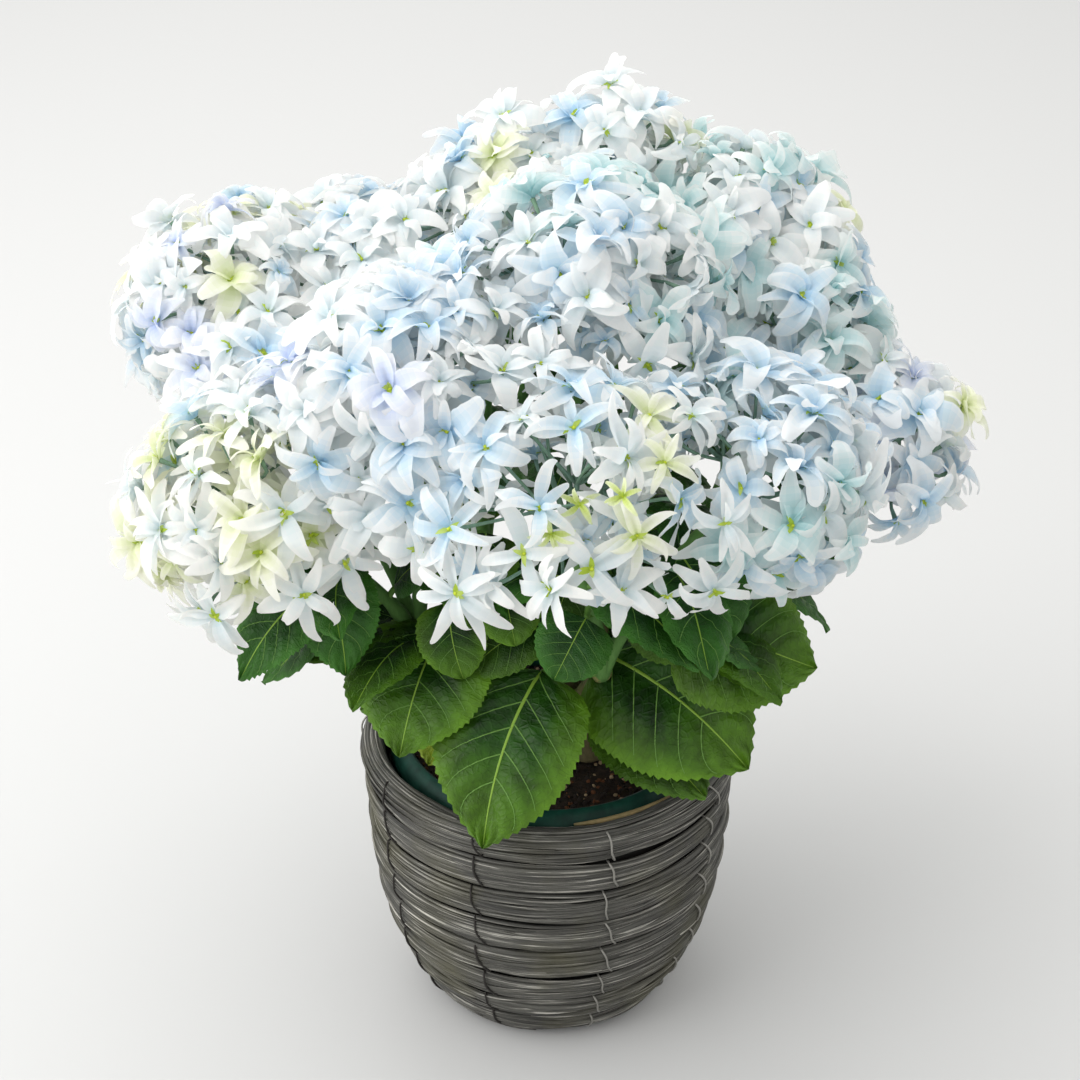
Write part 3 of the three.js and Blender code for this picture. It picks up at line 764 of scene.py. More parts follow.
# Shares of the length, and half widths there as shares of the greatest.
LEAF_OUTLINE = np.array(
    [[0, 0.05], [0.03, 0.45], [0.07, 0.7], [0.14, 0.88], [0.25, 0.98], [0.38, 1.0], [0.52, 0.97],
     [0.65, 0.85], [0.75, 0.69], [0.84, 0.49], [0.92, 0.27], [0.97, 0.11], [1, 0.005]]
)
TOOTH_ROWS = np.array([-0.55, 0.1, 0.75])  # a tooth's reach past the outline, from row to row
VEIN_PAIRS, VEIN_SLANT = 6, 0.36
LEAF_LENGTH, LEAF_WIDTH = 95.0, 62.0  # the leaf map's scale: u runs from foot to tip, v from edge to edge
NET_CELL = 3.5  # between the small veins
ARCH = 0.1  # how far a leaf stands up between foot and tip, as a share of its length
FOLD = 0.16  # how steeply its halves rise beside the midrib
QUILTING = 0.042  # how far the blade stands up between two side veins, as a share of its length
RIPPLE = 0.022  # how far its edges wave, as a share of its length
VEIN_LIFT = 0.35  # how far the veins stand clear of the blade


def leaf_skin(name, deep, bright, edge, gloss=0.46, spot_mm=16.0):
    """Leaf blade: waxy, dark along its middle and brighter to its edge and tip, with a fine net of veins."""
    made, tree, shader, output = new_material(name, gloss)
    where = add_node(tree, "ShaderNodeTexCoord")
    leaf_map = add_node(tree, "ShaderNodeUVMap", {"uv_map": "UVMap"})
    parts = add_node(tree, "ShaderNodeSeparateXYZ", _Vector=leaf_map.outputs[0])
    mottle = add_node(tree, "ShaderNodeTexNoise", {"Scale": 1000 / spot_mm, "Detail": 6.0, "Roughness": 0.62},
                      _Vector=where.outputs["Object"])
    ramp = add_node(tree, "ShaderNodeValToRGB", _Fac=mottle.outputs[0])
    set_ramp(ramp, (0.38, deep), (0.62, bright))
    # How near the edge a point is, loosened by the mottling: 0 at the midrib, 1 at the edge.
    middle = add_node(tree, "ShaderNodeMath", {"operation": "SUBTRACT", 1: 0.5}, _0=parts.outputs[1])
    aside = add_node(tree, "ShaderNodeMath", {"operation": "ABSOLUTE"}, _0=middle.outputs[0])
    rim = add_node(tree, "ShaderNodeMapRange", {"From Min": 0.22, "From Max": 0.5}, _Value=aside.outputs[0])
    tip = add_node(tree, "ShaderNodeMapRange", {"From Min": 0.45, "From Max": 1.05}, _Value=parts.outputs[0])
    most = add_node(tree, "ShaderNodeMath", {"operation": "MAXIMUM"}, _0=rim.outputs[0], _1=tip.outputs[0])
    loose = add_node(tree, "ShaderNodeMath", {"operation": "MULTIPLY"}, _0=most.outputs[0],
                     _1=mottle.outputs[0])
    share = add_node(tree, "ShaderNodeMath", {"operation": "MULTIPLY", 1: 1.35}, _0=loose.outputs[0])
    blade = add_node(tree, "ShaderNodeMix", {"data_type": "RGBA", 7: linear(edge)}, _0=share.outputs[0],
                     _6=ramp.outputs[0])
    # The net of small veins, sunk into the blade.
    cells = (LEAF_LENGTH / NET_CELL, LEAF_WIDTH / NET_CELL, 1)
    net_scale = add_node(tree, "ShaderNodeMapping", {"Scale": cells}, _Vector=leaf_map.outputs[0])
    net = add_node(tree, "ShaderNodeTexVoronoi", {"feature": "DISTANCE_TO_EDGE", "Scale": 1.0},
                   _Vector=net_scale.outputs[0])
    lines = add_node(tree, "ShaderNodeMapRange", {"From Max": 0.16}, _Value=net.outputs["Distance"])
    bump = add_node(tree, "ShaderNodeBump", {"Strength": 0.55, "Distance": 0.35 * MM},
                    _Height=lines.outputs[0])
    grain = add_node(tree, "ShaderNodeTexNoise", {"Scale": 1000 / 5.0, "Detail": 3.0},
                     _Vector=where.outputs["Object"])
    relief = add_node(tree, "ShaderNodeBump", {"Strength": 0.55, "Distance": 1.0 * MM},
                      _Height=grain.outputs[0], _Normal=bump.outputs[0])
    through = add_node(tree, "ShaderNodeBsdfTranslucent", _Color=blade.outputs[2], _Normal=relief.outputs[0])
    tree.links.new(blade.outputs[2], shader.inputs["Base Color"])
    tree.links.new(relief.outputs[0], shader.inputs["Normal"])
    shader.inputs["Specular IOR Level"].default_value = 0.28
    mix = add_node(tree, "ShaderNodeMixShader", {"Fac": 0.16}, _1=shader.outputs[0], _2=through.outputs[0])
    tree.links.new(mix.outputs[0], output.inputs["Surface"])
    return made


MIDRIB, SIDE_VEIN, BLUISH = 3, 4, 5  # places in the list of leaf skins
LEAF_SKINS = [
    leaf_skin("waxy_leaf_blade_deep", "#0f2708", "#1e4409", "#58831b"),
    leaf_skin("waxy_leaf_blade_mid", "#122f07", "#26520c", "#689420"),
    leaf_skin("waxy_leaf_blade_yellowing", "#3a6313", "#668a1e", "#9dab2e"),
    thin_tissue("leaf_midrib", "#88ad3e", "#88ad3e", 0.5, 0.1),
    thin_tissue("leaf_side_vein", "#679140", "#679140", 0.5, 0.1),
    leaf_skin("waxy_leaf_blade_bluish", "#14390d", "#245119", "#447c25"),
]


def leaf(heap, rng, base, tip, normal, width, skin=None, teeth=24, halves=8, pairs=VEIN_PAIRS, blunt=1.0):
    """A toothed oval leaf from its base to its tip. normal is roughly its upper side's direction."""
    base, tip = np.asarray(base, float), np.asarray(tip, float)
    span = tip - base
    length = np.linalg.norm(span)
    forward = span / length
    side = unit(np.cross(normal, forward))
    upper = np.cross(forward, side)
    rows = 3 * teeth + 1
    t, s = np.linspace(0, 1, rows), np.linspace(-1, 1, 2 * halves + 1)
    half = np.interp(t, LEAF_OUTLINE[:, 0], LEAF_OUTLINE[:, 1]) ** blunt * width / 2
    jag = np.append(np.tile(TOOTH_ROWS, teeth), 0) * (length / LEAF_LENGTH) ** 0.5
    jag = jag * np.clip(np.minimum(t / 0.07, (1 - t) / 0.04), 0, 1) * rng.uniform(0.7, 1.3, rows)
    rim = np.abs(s) == 1
    grid_t, grid_s = np.meshgrid(t, s, indexing="ij")
    reach = half[:, None] * s + np.where(rim, np.sign(s) * jag[:, None], 0)
    line = grid_t + np.where(rim, 0.006 * jag[:, None], 0)
    skew = VEIN_SLANT * np.abs(grid_s) ** 1.1
    foot = (line - skew) / (1 - 0.35 * skew)
    phase = foot * (pairs + 0.6) + 0.75 + 0.15 * (grid_s > 0)
    edge_fade = np.clip(np.abs(grid_s) * 3, 0, 1) * (1 - np.abs(grid_s) ** 4)
    quilt = np.abs(np.sin(math.pi * phase)) ** 0.8 * edge_fade * length * QUILTING
    bulge = ARCH * length * np.sin(math.pi * np.clip(line, 0, 1) ** 0.8)
    wave = rng.uniform(0, 6.28, 3)
    waves = np.sin(8 * grid_t + wave[0] + np.where(grid_s > 0, wave[1], 0))
    ripple = length * RIPPLE * np.abs(grid_s) ** 2 * waves
    sag = FOLD * np.abs(reach) - 1.15 * FOLD * reach**2 / (width / 2)
    height = bulge + quilt + ripple + sag
    sway = side * (length * 0.05 * math.sin(wave[2]))
    bend = (4 * grid_t * (1 - grid_t))[..., None] * sway
    points = base + line[..., None] * span + side * reach[..., None] + upper * height[..., None] + bend
    skin = int(rng.integers(0, 2)) if skin is None else skin
    heap.add(points.reshape(-1, 3), sheet_faces(rows, len(s)), skin,
             np.stack([grid_t, grid_s / 2 + 0.5], -1).reshape(-1, 2))

    def on_blade(tt, ss):
        """Points just above the blade's triangles."""
        row = np.clip(tt, 0, 1) * (rows - 1)
        col = (ss + 1) / 2 * (len(s) - 1)
        i, j = np.minimum(row.astype(int), rows - 2), np.minimum(col.astype(int), len(s) - 2)
        u, v = (row - i)[:, None], (col - j)[:, None]
        a, b, c, d = points[i, j], points[i, j + 1], points[i + 1, j + 1], points[i + 1, j]
        flat = np.where(v >= u, a + v * (b - a) + u * (c - b), a + u * (d - a) + v * (c - d))
        return flat + upper * VEIN_LIFT

    def ribbon(tt, ss, widths, kind):
        line = on_blade(tt, ss)
        run = np.gradient(line, axis=0)
        wide = np.cross(upper, run)
        wide *= (widths / 2 / np.linalg.norm(wide, axis=1))[:, None]
        crest = line + upper * (widths * 0.3)[:, None]
        heap.add(np.stack([line - wide, crest, line + wide], 1).reshape(-1, 3), sheet_faces(len(tt), 3), kind)

    thick = length / LEAF_LENGTH
    ribbon(np.linspace(0, 0.98, 22), np.zeros(22), np.linspace(2.0, 0.4, 22) * thick, MIDRIB)
    for k in range(1, pairs + 1):
        for hand in (-1, 1):
            start = (k - 0.75 - (0.15 if hand > 0 else 0)) / (pairs + 0.6)
            ss = np.linspace(0, 0.86, 25)
            tt = start + VEIN_SLANT * ss**1.1 * (1 - 0.35 * start)
            keep = (tt < 0.96) & (tt >= 0)
            if keep.sum() > 2 and start < 0.76:
                ribbon(tt[keep], hand * ss[keep], np.linspace(0.7, 0.3, keep.sum()) * thick, SIDE_VEIN)


def petiole(heap, start, base, sag=-4.0):
    """A leaf's stalk, from a limb to the blade's foot."""
    start, base = np.asarray(start, float), np.asarray(base, float)
    line = along([start, (start + base) / 2 + UP * sag, base], 7)
    points, quads, caps = tube(line, [2.3, 1.9, 1.7, 1.6, 1.6, 1.5, 1.2], 7)
    heap.add(points, [quads, caps], [SIDE_VEIN, SIDE_VEIN])


LIMBS = np.concatenate([line[len(line) // 4 :] for line in [*limb_lines.values(), *STEM_LINES.values()]])


def nearest_limb(point):
    """The nearest place on a limb that isn't much above a point."""
    lower = LIMBS[LIMBS[:, 2] < point[2] + 8]
    return lower[np.argmin(np.linalg.norm(lower - point, axis=1))]


# The leaves that show best: foot, tip, the way the upper side looks, width, skin.
NAMED_LEAVES = {
    "lower_front": [
        ((-4, -62, 230), (-32, -114, 162), (-0.12, -0.78, 0.6), 72, 1),
        ((32, -30, 192), (78, -76, 164), (0.2, -0.6, 0.75), 56, 0),
    ],
    "lower_front_right": [((27, -42, 228), (98, -78, 183), (0.05, -0.78, 0.62), 84, 1)],
    "lower_front_left": [
        ((-50, -44, 246), (-72, -94, 201), (-0.25, -0.7, 0.66), 70, 1),
        ((-40, -40, 206), (-60, -66, 177), (-0.2, -0.66, 0.7), 50, 2),
    ],
    "upper_left": [
        ((-104, -58, 280), (-148, -80, 236), (-0.45, -0.72, 0.5), 40, 5),
        ((-110, -54, 288), (-97, -82, 240), (0.05, -0.85, 0.5), 42, 5),
    ],
    "upper_right": [
        ((62, -46, 249), (131, -58, 229), (0.2, -0.72, 0.66), 74, 1),
        ((85, -52, 258), (48, -68, 250), (-0.1, -0.5, 0.85), 30, 2),
    ],
}
# Small leaves under the middle of the crown: foot, tip, way, width, skin.
SMALL_LEAVES = [
    ((17, -82, 272), (2, -98, 248), (-0.2, -0.78, 0.58), 37, 5),
    ((-2, -56, 254), (-40, -72, 235), (-0.25, -0.66, 0.7), 34, 0),
    ((-48, -60, 268), (-41, -80, 237), (0.0, -0.85, 0.5), 34, 1),
    ((-22, -64, 280), (-16, -84, 258), (0.0, -0.75, 0.66), 32, 1),
    ((43, -58, 272), (74, -64, 243), (0.2, -0.7, 0.66), 44, 0),
    ((14, -50, 290), (2, -74, 262), (-0.1, -0.8, 0.5), 40, 0),
    ((-30, -50, 300), (-36, -76, 262), (-0.1, -0.75, 0.5), 40, 0),
    ((60, -58, 296), (86, -84, 262), (0.3, -0.8, 0.5), 50, 5),
]

for tier_name, tier in LEAF_TIERS.items():
    for index, (place_name, turn) in enumerate(tier["turns"].items()):
        node = f"{tier_name}_{place_name}"
        rng = np.random.default_rng(500 + 20 * index + (0 if tier_name == "lower" else 9))
        heap = Heap()
        for base, tip, normal, width, skin in NAMED_LEAVES.get(node, []):
            leaf(heap, rng, base, tip, normal, width, skin)
            petiole(heap, nearest_limb(base), base)
        low, high = (np.array(corner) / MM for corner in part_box(f"leaves_{node}"))
        bearing = math.radians(turn)
        out = np.array([math.cos(bearing), math.sin(bearing), 0])
        across = np.array([-out[1], out[0], 0])
        middle = out * tier["out"] + UP * tier["up"]
        for k in range(0 if node == "lower_front" else 3 if node in NAMED_LEAVES else 6):
            sway = rng.uniform(-30, 30)
            base = middle - out * rng.uniform(22, 44) + across * sway * 0.4 + UP * rng.uniform(-10, 8)
            tip = base + out * rng.uniform(45, 62) + across * sway - UP * rng.uniform(12, 44)
            tip = np.clip(tip, low, high)
            width = np.linalg.norm(tip - base) * 0.7
            skin = 0 if node in NAMED_LEAVES else None
            leaf(heap, rng, base, tip, UP + 0.5 * out, width, skin, teeth=11, halves=4, pairs=5)
            petiole(heap, nearest_limb(base), base)
        heap.piece(f"{node}_leaves", LEAF_SKINS, "leaf", [f"leaves_{node}"])

heap = Heap()
rng = np.random.default_rng(67)
for base, tip, normal, width, skin in SMALL_LEAVES:
    leaf(heap, rng, base, tip, normal, width, skin, teeth=12, halves=6, pairs=5, blunt=0.7)
    petiole(heap, nearest_limb(base), base)
# Pairs of leaves up each stem, each pair turned a quarter against the one below, hidden under the flowers.
for name, line in STEM_LINES.items():
    for order, share in enumerate((0.42, 0.7)):
        joint = int(share * (len(line) - 1))
        start = line[joint]
        run = unit(line[joint + 1] - start)
        around = unit(np.cross(run, UP)) if order else unit(np.cross(run, np.cross(run, UP)))
        for hand in (-1, 1):
            way = unit(around * hand + run * 0.3 + rng.normal(0, 0.15, 3))
            if name == "front" and way[1] < 0.3 and order == 0:
                continue  # the front shoot is bare below its head
            base = start + way * 9
            size = rng.uniform(48, 66)
            tip = base + (way - UP * 0.45) * size
            leaf(heap, rng, base, tip, run + UP * 0.6, size * 0.62, BLUISH, teeth=9, halves=4, pairs=4)
            petiole(heap, start, base, 0)
heap.piece("stem_leaves", LEAF_SKINS, "leaf")

# ---- Basket ----


def willow(name, crack, body, ridge, olive):
    """Weathered willow rods: silver-grey bark with pale ridges and dark cracks that run along each rod."""
    made, tree, shader, output = new_material(name, 0.62)
    rod_map = add_node(tree, "ShaderNodeUVMap", {"uv_map": "UVMap"})
    # The map's u runs along a rod and its v round it, both in millimetres. Streaks are about 1.4 mm wide.
    streaks = add_node(tree, "ShaderNodeMapping", {"Scale": (0.016, 0.75, 1)}, _Vector=rod_map.outputs[0])
    fibre = add_node(tree, "ShaderNodeTexNoise", {"Scale": 1.0, "Detail": 5.0, "Roughness": 0.65},
                     _Vector=streaks.outputs[0])
    ramp = add_node(tree, "ShaderNodeValToRGB", _Fac=fibre.outputs[0])
    set_ramp(ramp, (0.36, crack), (0.46, body), (0.54, body), (0.66, ridge))
    # Each rod's own tone, and olive and brown stains a few centimetres long.
    rods = add_node(tree, "ShaderNodeMapping", {"Scale": (0.010, 0.09, 1)}, _Vector=rod_map.outputs[0])
    tone = add_node(tree, "ShaderNodeTexNoise", {"Scale": 1.0, "Detail": 2.0}, _Vector=rods.outputs[0])
    shade = add_node(tree, "ShaderNodeMapRange", {"From Min": 0.42, "From Max": 0.66, "To Max": 0.75},
                     _Value=tone.outputs[0])
    darker = add_node(tree, "ShaderNodeMix", {"data_type": "RGBA", 7: linear(crack)}, _0=shade.outputs[0],
                      _6=ramp.outputs[0])
    stains = add_node(tree, "ShaderNodeTexNoise", {"Scale": 1000 / 45.0, "Detail": 3.0},
                      _Vector=add_node(tree, "ShaderNodeTexCoord").outputs["Object"])
    stained = add_node(tree, "ShaderNodeMapRange", {"From Min": 0.5, "From Max": 0.75, "To Max": 0.5},
                       _Value=stains.outputs[0])
    mix = add_node(tree, "ShaderNodeMix", {"data_type": "RGBA", 7: linear(olive)}, _0=stained.outputs[0],
                   _6=darker.outputs[2])
    bump = add_node(tree, "ShaderNodeBump", {"Strength": 0.9, "Distance": 0.5 * MM}, _Height=fibre.outputs[0])
    tree.links.new(mix.outputs[2], shader.inputs["Base Color"])
    tree.links.new(bump.outputs[0], shader.inputs["Normal"])
    return made


WILLOW = willow("weathered_grey_willow", "#1c1b18", "#504f49", "#cac7bd", "#4f4c2b")
TAN_CANE = bark_skin("dry_tan_cane", "#6f5f3c", "#a1895c", "#7f7450", 2.0, 0.2)
CANE_REACH, CANE_HEIGHT, CANE_RADIUS = 88.0, 156.6, 1.6
# Willow deep in the coils and under the foot rods, painted near-black: painted shade.
PAINTED_SHADE_CORE = bark_skin("shaded_willow_core", "#141311", "#22201d", "#1d1b18", 4.0, 0.5)


def catmull(values, count):
    """Points on the smooth curve through values, as many per span as asked for."""
    padded = np.vstack([values[0] * 2 - values[1], values, values[-1] * 2 - values[-2]])
    out = []
    for i in range(len(values) - 1):
        a, b, c, d = padded[i : i + 4]
        for t in np.linspace(0, 1, count, endpoint=False):
            bend, twist = 2 * a - 5 * b + 4 * c - d, 3 * b - a - 3 * c + d
            out.append(0.5 * (2 * b + (c - a) * t + bend * t * t + twist * t**3))
    return np.array(out + [values[-1]])


outline = catmull(BASKET_OUTLINE, 30)


def basket_radius(height):
    return np.interp(height, outline[:, 0] * BASKET_HEIGHT, outline[:, 1] * BASKET_RADIUS)


SIDE_MM, TRACK_MM = 1.5, 40.0  # on a rod's map: one side's width, and the step from rod to rod


def rod(heap, rng, radius_at, height_at, thick, start, sweep, track, sides=6):
    """One willow rod bent round the basket from a bearing through a sweep, thin at its ends if it has any."""
    whole = sweep > 2 * math.pi - 0.01
    count = max(8, int(ROUND_STEPS * sweep / (2 * math.pi)))
    angles = start + np.linspace(0, sweep, count, endpoint=not whole)
    path = bent(radius_at(angles), angles, height_at(angles))
    shares = np.linspace(0, 1, count)
    ends = np.ones(count) if whole else np.clip(np.minimum(shares, 1 - shares) * count / 5 + 0.3, 0, 1)
    radii = thick * ends * (1 + 0.08 * np.sin(5 * angles + rng.uniform(0, 6.28)))
    points, quads, caps = tube(path, radii, sides, closed=whole)
    along_mm = angles * BASKET_RADIUS
    spans = len(quads) // sides
    first = np.repeat(along_mm[:spans], sides)
    last = first + (angles[1] - angles[0]) * BASKET_RADIUS
    near = np.tile(np.arange(sides), spans) * SIDE_MM + track * TRACK_MM
    corners = [(first, near), (first, near + SIDE_MM), (last, near + SIDE_MM), (last, near)]
    quad_uv = np.stack([np.stack(corner, 1) for corner in corners], 1)
    if whole:
        heap.add(points, [quads], [0], [quad_uv])
    else:
        cap_uv = np.zeros((2, sides, 2)) + [along_mm[0], track * TRACK_MM]
        heap.add(points, [quads, caps], [0, 0], [quad_uv, cap_uv])


BULGE = 4.6  # how far a bundle's middle stands out past the grooves beside it
FLOOR_GAP = ROD_RADIUS * 1.45  # the lowest a wall rod's middle may be
groove_rng = np.random.default_rng(8)
GROOVES = [(groove_rng.normal(0, 0.8), groove_rng.uniform(0, 6.28), groove_rng.normal(0, 0.5),
            groove_rng.uniform(0, 6.28)) for line in range(COIL_COUNT + 1)]


def groove(number, angles):
    """The height of the groove under a bundle, which wanders a little round the basket."""
    if number in (0, COIL_COUNT):
        return number * COIL_PITCH + 0 * angles
    big, first, small, second = GROOVES[number]
    return number * COIL_PITCH + big * np.sin(2 * angles + first) + small * np.sin(5 * angles + second)


def bundle_place(coil, share, angles):
    """Radius and height of a rod's middle at a share of a bundle's height, on the basket's outside."""
    low, high = groove(coil, angles), groove(coil + 1, angles)
    height = low + (high - low) * share
    swell = np.clip(math.sin(math.pi * np.clip(share, 0.02, 0.98)), 0, 1) ** 0.55
    return basket_radius(height) + 1.2 - BULGE * (1 - swell) - ROD_RADIUS, height


def rim_place(turn, inset, drop):
    """Radius and height on the round rim, at a turn of its section, so far inside its outline."""
    out = BASKET_RADIUS - COIL_THICKNESS / 2 + (COIL_THICKNESS / 2 - inset) * math.cos(turn)
    return out, (COIL_COUNT - 0.5) * COIL_PITCH + (COIL_PITCH / 2 - drop) * math.sin(turn)


for coil in range(COIL_COUNT):
    rng = np.random.default_rng(900 + coil)
    rim = coil == COIL_COUNT - 1
    heap = Heap()
    tracks = []  # each rod's rule for radius and height
    if rim:
        for k in range(RIM_RODS):
            out, up = rim_place(math.radians(-66 + k * 15.8), ROD_RADIUS, ROD_RADIUS)
            tracks.append((out - 0.6, up))
    else:
        # An outer rod follows its bundle at a share of the bundle's height.
        tracks += [(None, 0.07 + 0.86 * (k + 0.5) / OUTER_RODS) for k in range(OUTER_RODS)]
        for k in range(INNER_RODS):
            height = (coil + (k + 0.5) / INNER_RODS) * COIL_PITCH
            tracks.append((basket_radius(height) - GROOVE_DEPTH - COIL_THICKNESS + ROD_RADIUS, height))
    for track, (out, up) in enumerate(tracks):
        thick = ROD_RADIUS * rng.uniform(0.75, 1.3)
        p, q = rng.uniform(0, 6.28, 2)
        w = rng.normal(0, 0.35, 3)

        def radius_at(angles, out=out, up=up, p=p, w=w):
            steady = bundle_place(coil, up, angles)[0] if out is None else out
            return steady + 0.4 * np.sin(3 * angles + p) + w[0] * np.sin(8 * angles + 2 * p)

        def height_at(angles, out=out, up=up, q=q, w=w):
            steady = bundle_place(coil, up, angles)[1] if out is None else up + 0 * angles
            raised = steady + 0.45 * np.sin(4 * angles + q) + w[1] * np.sin(9 * angles + 3 * q)
            return np.clip(raised, FLOOR_GAP, BASKET_HEIGHT - ROD_RADIUS)

        rod(heap, rng, radius_at, height_at, thick, 0, 2 * math.pi, coil * 20 + track)
    for extra in range(LOOSE_RODS):
        share = rng.uniform(0.12, 0.88)
        start, sweep = rng.uniform(0, 6.28), rng.uniform(0.3, 1.7)
        slant = rng.normal(0, 0.09)

        loose_end = rim_place(math.radians(-50 + 110 * share), 0.4, 1.5)

        def radius_over(angles, share=share, loose_end=loose_end):
            return loose_end[0] if rim else bundle_place(coil, share, angles)[0] + 1.0

        def height_over(angles, share=share, loose_end=loose_end, start=start, sweep=sweep, slant=slant):
            raised = loose_end[1] if rim else bundle_place(coil, share, angles)[1]
            raised = raised + COIL_PITCH * slant * (angles - start - sweep / 2) / sweep
            return np.clip(raised, FLOOR_GAP, BASKET_HEIGHT - 1)

        rod(heap, rng, radius_over, height_over, ROD_RADIUS * rng.uniform(0.45, 0.8), start, sweep,
            coil * 20 + 19 + extra, 5)
    if rim:
        # One split cane on the rim's inner shoulder hasn't gone grey.
        cane = bent(CANE_REACH, np.radians(np.linspace(-82, -46, 20)), CANE_HEIGHT)
        narrowing = np.sin(np.linspace(0.15, math.pi - 0.15, 20)) ** 0.5
        points, quads, caps = tube(cane, CANE_RADIUS * narrowing, 7)
        heap.add(points, [quads, caps], [1, 1])
    heap.piece(f"coil_{coil + 1}_rods", [WILLOW, TAN_CANE], "willow", [f"basket_coil_{coil + 1}"])


def turned(name, profile, sides, material, nodes=(), closed=False):
    """A round piece: a profile of (radius, height) modelled as edges and spun round the axis."""
    bpy.ops.object.select_all(action="DESELECT")
    mesh = bpy.data.meshes.new(name)
    points = [(radius * MM, 0, height * MM) for radius, height in profile]
    edges = [(i, i + 1) for i in range(len(points) - 1)] + ([(len(points) - 1, 0)] if closed else [])
    mesh.from_pydata(points, edges, [])
    made = bpy.data.objects.new(name, mesh)
    bpy.context.collection.objects.link(made)
    made.select_set(True)
    bpy.context.view_layer.objects.active = made
    bpy.ops.object.mode_set(mode="EDIT")
    bpy.ops.mesh.select_all(action="SELECT")
    bpy.ops.mesh.spin(steps=sides, angle=2 * math.pi, center=(0, 0, 0), axis=(0, 0, 1))
    bpy.ops.mesh.select_all(action="SELECT")
    bpy.ops.mesh.remove_doubles(threshold=1e-6)
    bpy.ops.mesh.normals_make_consistent(inside=False)
    bpy.ops.object.mode_set(mode="OBJECT")
    mesh.materials.append(material)
    bpy.ops.object.shade_smooth_by_angle(angle=math.radians(40))
    place(made, nodes)


# The packing behind the rods, so that no light shows between them, painted near-black as the shade deep in
# the coils.
levels = np.linspace(1.5, BASKET_HEIGHT - 9, 24)
core = [(basket_radius(level) - GROOVE_DEPTH - PACKING_DEPTH, level) for level in levels]
core_inner = [(radius - PACKING_THICKNESS, height) for radius, height in reversed(core)]
turned("basket_packing", core + core_inner, 72, PAINTED_SHADE_CORE, closed=True)

# The foot: a woven disc of concentric rods on a sheet painted near-black as shade.
heap = Heap()
rng = np.random.default_rng(77)
for ring in range(FOOT_RINGS):
    out = 2.4 + ring * FOOT_RING_PITCH
    for height in (ROD_RADIUS * 1.12, FOOT_THICKNESS - ROD_RADIUS):

        def foot_radius(angles, out=out):
            return out + 0.25 * np.sin(3 * angles)

        rod(heap, rng, foot_radius, lambda angles, height=height: height, ROD_RADIUS, rng.uniform(0, 6.28),
            2 * math.pi, 300 + ring, 5)
heap.piece("basket_foot_rods", [WILLOW], "willow", ["basket_base"])
turned("basket_foot_packing", [(0, 1.6), (47.5, 1.6), (47.5, 6.4), (0, 6.4)], 48, PAINTED_SHADE_CORE)

# Binding wire: one slanting stitch over each bundle, in columns round the basket. Some of it has gone dark.
WIRES = [
    plain_material("annealed_binding_wire", "#8b8983", 0.5, 0.6),
    plain_material("oxidised_binding_wire", "#2f2c29", 0.6, 0.5),
]
BRIGHT_COLUMNS = (1, 2, 3, 5, 7)
heap = Heap()
rng = np.random.default_rng(31)
for column in range(STITCH_COLUMNS):
    bearing = FIRST_COLUMN + column * 40.5
    for coil in range(COIL_COUNT):
        centre = math.radians(bearing + rng.normal(0, 0.8))
        lean = math.radians(1.7 + rng.normal(0, 0.5))
        shares = np.linspace(0.97, 0.03, 12)
        angles = centre + lean * np.linspace(-1, 1, 12) + 0.006 * np.sin(shares * 9 + column)
        places = [bundle_place(coil, share, angle) for share, angle in zip(shares, angles)]
        radii, heights = np.array(places).T
        heights = np.clip(heights, 0.8, BASKET_HEIGHT - 2.5)
        radii = radii + ROD_RADIUS + 0.9
        radii[[0, -1]] -= 3.5
        points, quads, caps = tube(bent(radii, angles, heights), STITCH_RADIUS * rng.uniform(0.9, 1.3), 6)
        tint = 0 if column in BRIGHT_COLUMNS else 1
        heap.add(points, [quads, caps], [tint, tint])
heap.piece("binding_stitches", WIRES, "willow")

# ---- Pot and soil ----

# Injection-moulded polypropylene: dark teal green, satin, finely scuffed.
plastic, tree, shader, output = new_material("moulded_green_polypropylene", 0.45)
where = add_node(tree, "ShaderNodeTexCoord")
scuffs = add_node(tree, "ShaderNodeTexNoise", {"Scale": 1000 / 6.0, "Detail": 5.0},
                  _Vector=where.outputs["Object"])
ramp = add_node(tree, "ShaderNodeValToRGB", _Fac=scuffs.outputs[0])
set_ramp(ramp, (0.3, "#0c3229"), (0.75, "#17493c"))
tree.links.new(ramp.outputs[0], shader.inputs["Base Color"])
shader.inputs["Specular IOR Level"].default_value = 0.2
turned("grower_pot", POT_PROFILE, 96, plastic, ["pot"])

# Potting soil: damp dark peat with pale grit and bits of bark.
peat, tree, shader, output = new_material("damp_peat_soil", 0.9)
where = add_node(tree, "ShaderNodeTexCoord")
crumbs = add_node(tree, "ShaderNodeTexNoise", {"Scale": 1000 / 5.0, "Detail": 8.0, "Roughness": 0.7},
                  _Vector=where.outputs["Object"])
ramp = add_node(tree, "ShaderNodeValToRGB", _Fac=crumbs.outputs[0])
set_ramp(ramp, (0.35, "#140f0c"), (0.75, "#4b3626"))
bump = add_node(tree, "ShaderNodeBump", {"Strength": 1.0, "Distance": 1.2 * MM}, _Height=crumbs.outputs[0])
tree.links.new(ramp.outputs[0], shader.inputs["Base Color"])
tree.links.new(bump.outputs[0], shader.inputs["Normal"])
SOIL_SKINS = [
    peat,
    plain_material("bark_crumb", "#6b4226"),
    plain_material("pale_grit", "#a58f70"),
    plain_material("peat_crumb", "#241a14"),
]
GRAIN_COUNT = 1500


def lumps(x, y):
    """How far the soil stands up at a place."""
    return 1.3 * noise.fractal(Vector((x / 7, y / 7, 0)), 0.8, 2.1, 4)


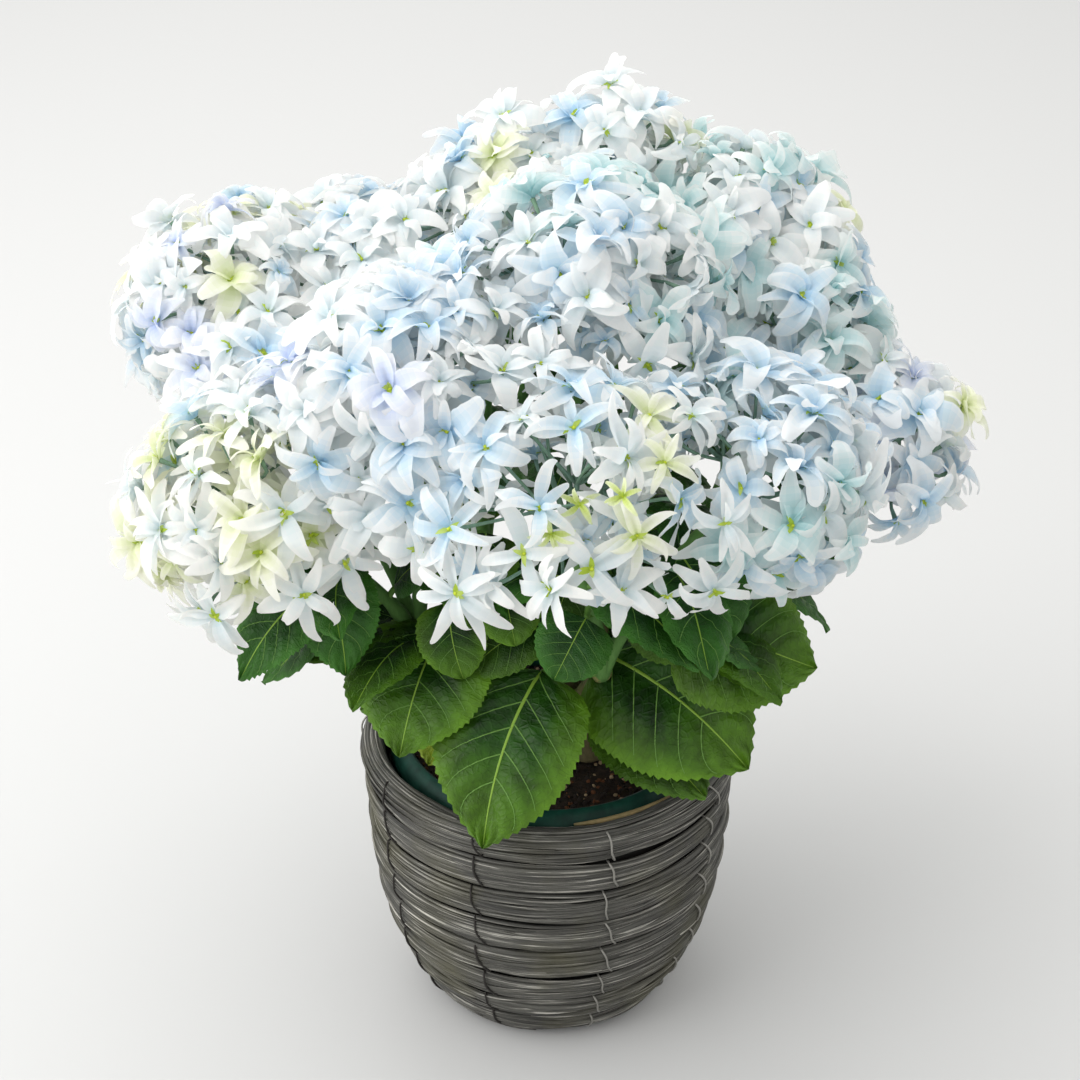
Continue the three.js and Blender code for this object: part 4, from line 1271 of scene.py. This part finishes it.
heap = Heap()
rings, spokes = 40, 120
radii = np.linspace(0.5, SOIL_RADIUS, rings)
grid = bent(radii[:, None], np.arange(spokes) * 2 * math.pi / spokes, SOIL_LEVEL - 0.8)
for i, radius in enumerate(radii):
    for j in range(spokes):
        x, y, z = grid[i, j]
        grid[i, j, 2] = z + lumps(x, y) - (radius / SOIL_RADIUS) ** 6
faces = [ring_faces(rings, spokes)[:, ::-1], np.arange(spokes)[None, :]]
heap.add(grid.reshape(-1, 3), faces, [0, 0])
rng = np.random.default_rng(12)
for k in range(GRAIN_COUNT):
    angle, out = rng.uniform(0, 2 * math.pi), SOIL_RADIUS * 0.97 * math.sqrt(rng.random())
    x, y = out * math.cos(angle), out * math.sin(angle)
    size = rng.uniform(0.5, 1.7)
    points, quads, top = bud(size)
    points = points * rng.uniform(0.6, 1.4, 3)
    points = (points - [0, 0, size * 0.7]) @ facing(rng.normal(0, 1, 3)).T
    kind = int(rng.choice([1, 2, 3], p=[0.3, 0.12, 0.58]))
    heap.add(points + [x, y, SOIL_LEVEL - 0.6 + lumps(x, y)], [quads, top], [kind, kind])
heap.piece("soil_surface", SOIL_SKINS, "soil", ["soil"])

# ---- Studio ----

FLOOR_RADIUS = 7.0  # metres
bpy.ops.object.select_all(action="DESELECT")
bpy.ops.mesh.primitive_circle_add(vertices=128, radius=FLOOR_RADIUS, fill_type="NGON")
floor = bpy.context.object
floor.name = "studio_floor"
floor.data.materials.append(plain_material("matt_white_backdrop_paper", "#c7c7c6", 0.95))


def softbox(name, at, aim, size, power):
    """A white lamp that shines from a rectangle, in metres and watts."""
    lamp = bpy.data.lights.new(name, "AREA")
    lamp.shape, lamp.size, lamp.size_y = "RECTANGLE", size[0], size[1]
    lamp.energy = power
    holder = bpy.data.objects.new(name, lamp)
    holder.location = at
    holder.rotation_euler = (Vector(aim) - Vector(at)).to_track_quat("-Z", "Y").to_euler()
    holder.visible_camera = False
    bpy.context.collection.objects.link(holder)


softbox("window_light", (-1.35, -0.45, 1.8), (0, 0.05, 0.25), (2.4, 2.4), 23)
softbox("top_light", (-0.25, 0.35, 1.9), (0.05, 0.1, 0.3), (1.4, 1.4), 8)
softbox("side_fill", (-1.9, -0.9, 0.8), (0, 0, 0.25), (1.4, 1.2), 15)
softbox("far_floor_light", (-0.6, 2.3, 1.9), (-0.5, 2.3, 0), (2.6, 1.4), 12)

world = bpy.data.worlds.new("studio")
world.use_nodes = True
tree = world.node_tree
# The room is a soft grey at eye level and white overhead.
where = add_node(tree, "ShaderNodeTexCoord")
way_up = add_node(tree, "ShaderNodeSeparateXYZ", _Vector=where.outputs["Generated"])
levels = {"From Min": 0.1, "From Max": 0.7, "To Min": 0.86, "To Max": 1.19}
glow = add_node(tree, "ShaderNodeMapRange", levels, _Value=way_up.outputs[2])
tree.nodes["Background"].inputs["Color"].default_value = linear("#f6f6f5")
tree.links.new(glow.outputs[0], tree.nodes["Background"].inputs["Strength"])
bpy.context.scene.world = world
bpy.context.scene.view_settings.view_transform = "Standard"

# ---- Camera ----

IMAGE_SIDE = 1080  # pixels
FOCAL_PIXELS = 2015
SENSOR_WIDTH = 36
LOOKING_DOWN = 28.67  # degrees
eye = bpy.data.cameras.new("camera")
eye.sensor_width = SENSOR_WIDTH
eye.lens = SENSOR_WIDTH * FOCAL_PIXELS / IMAGE_SIDE
camera = bpy.data.objects.new("camera", eye)
camera.location = (-0.0045, -0.8936, 0.7578)
camera.rotation_euler = (math.radians(90 - LOOKING_DOWN), 0, 0)
bpy.context.collection.objects.link(camera)
bpy.context.scene.camera = camera
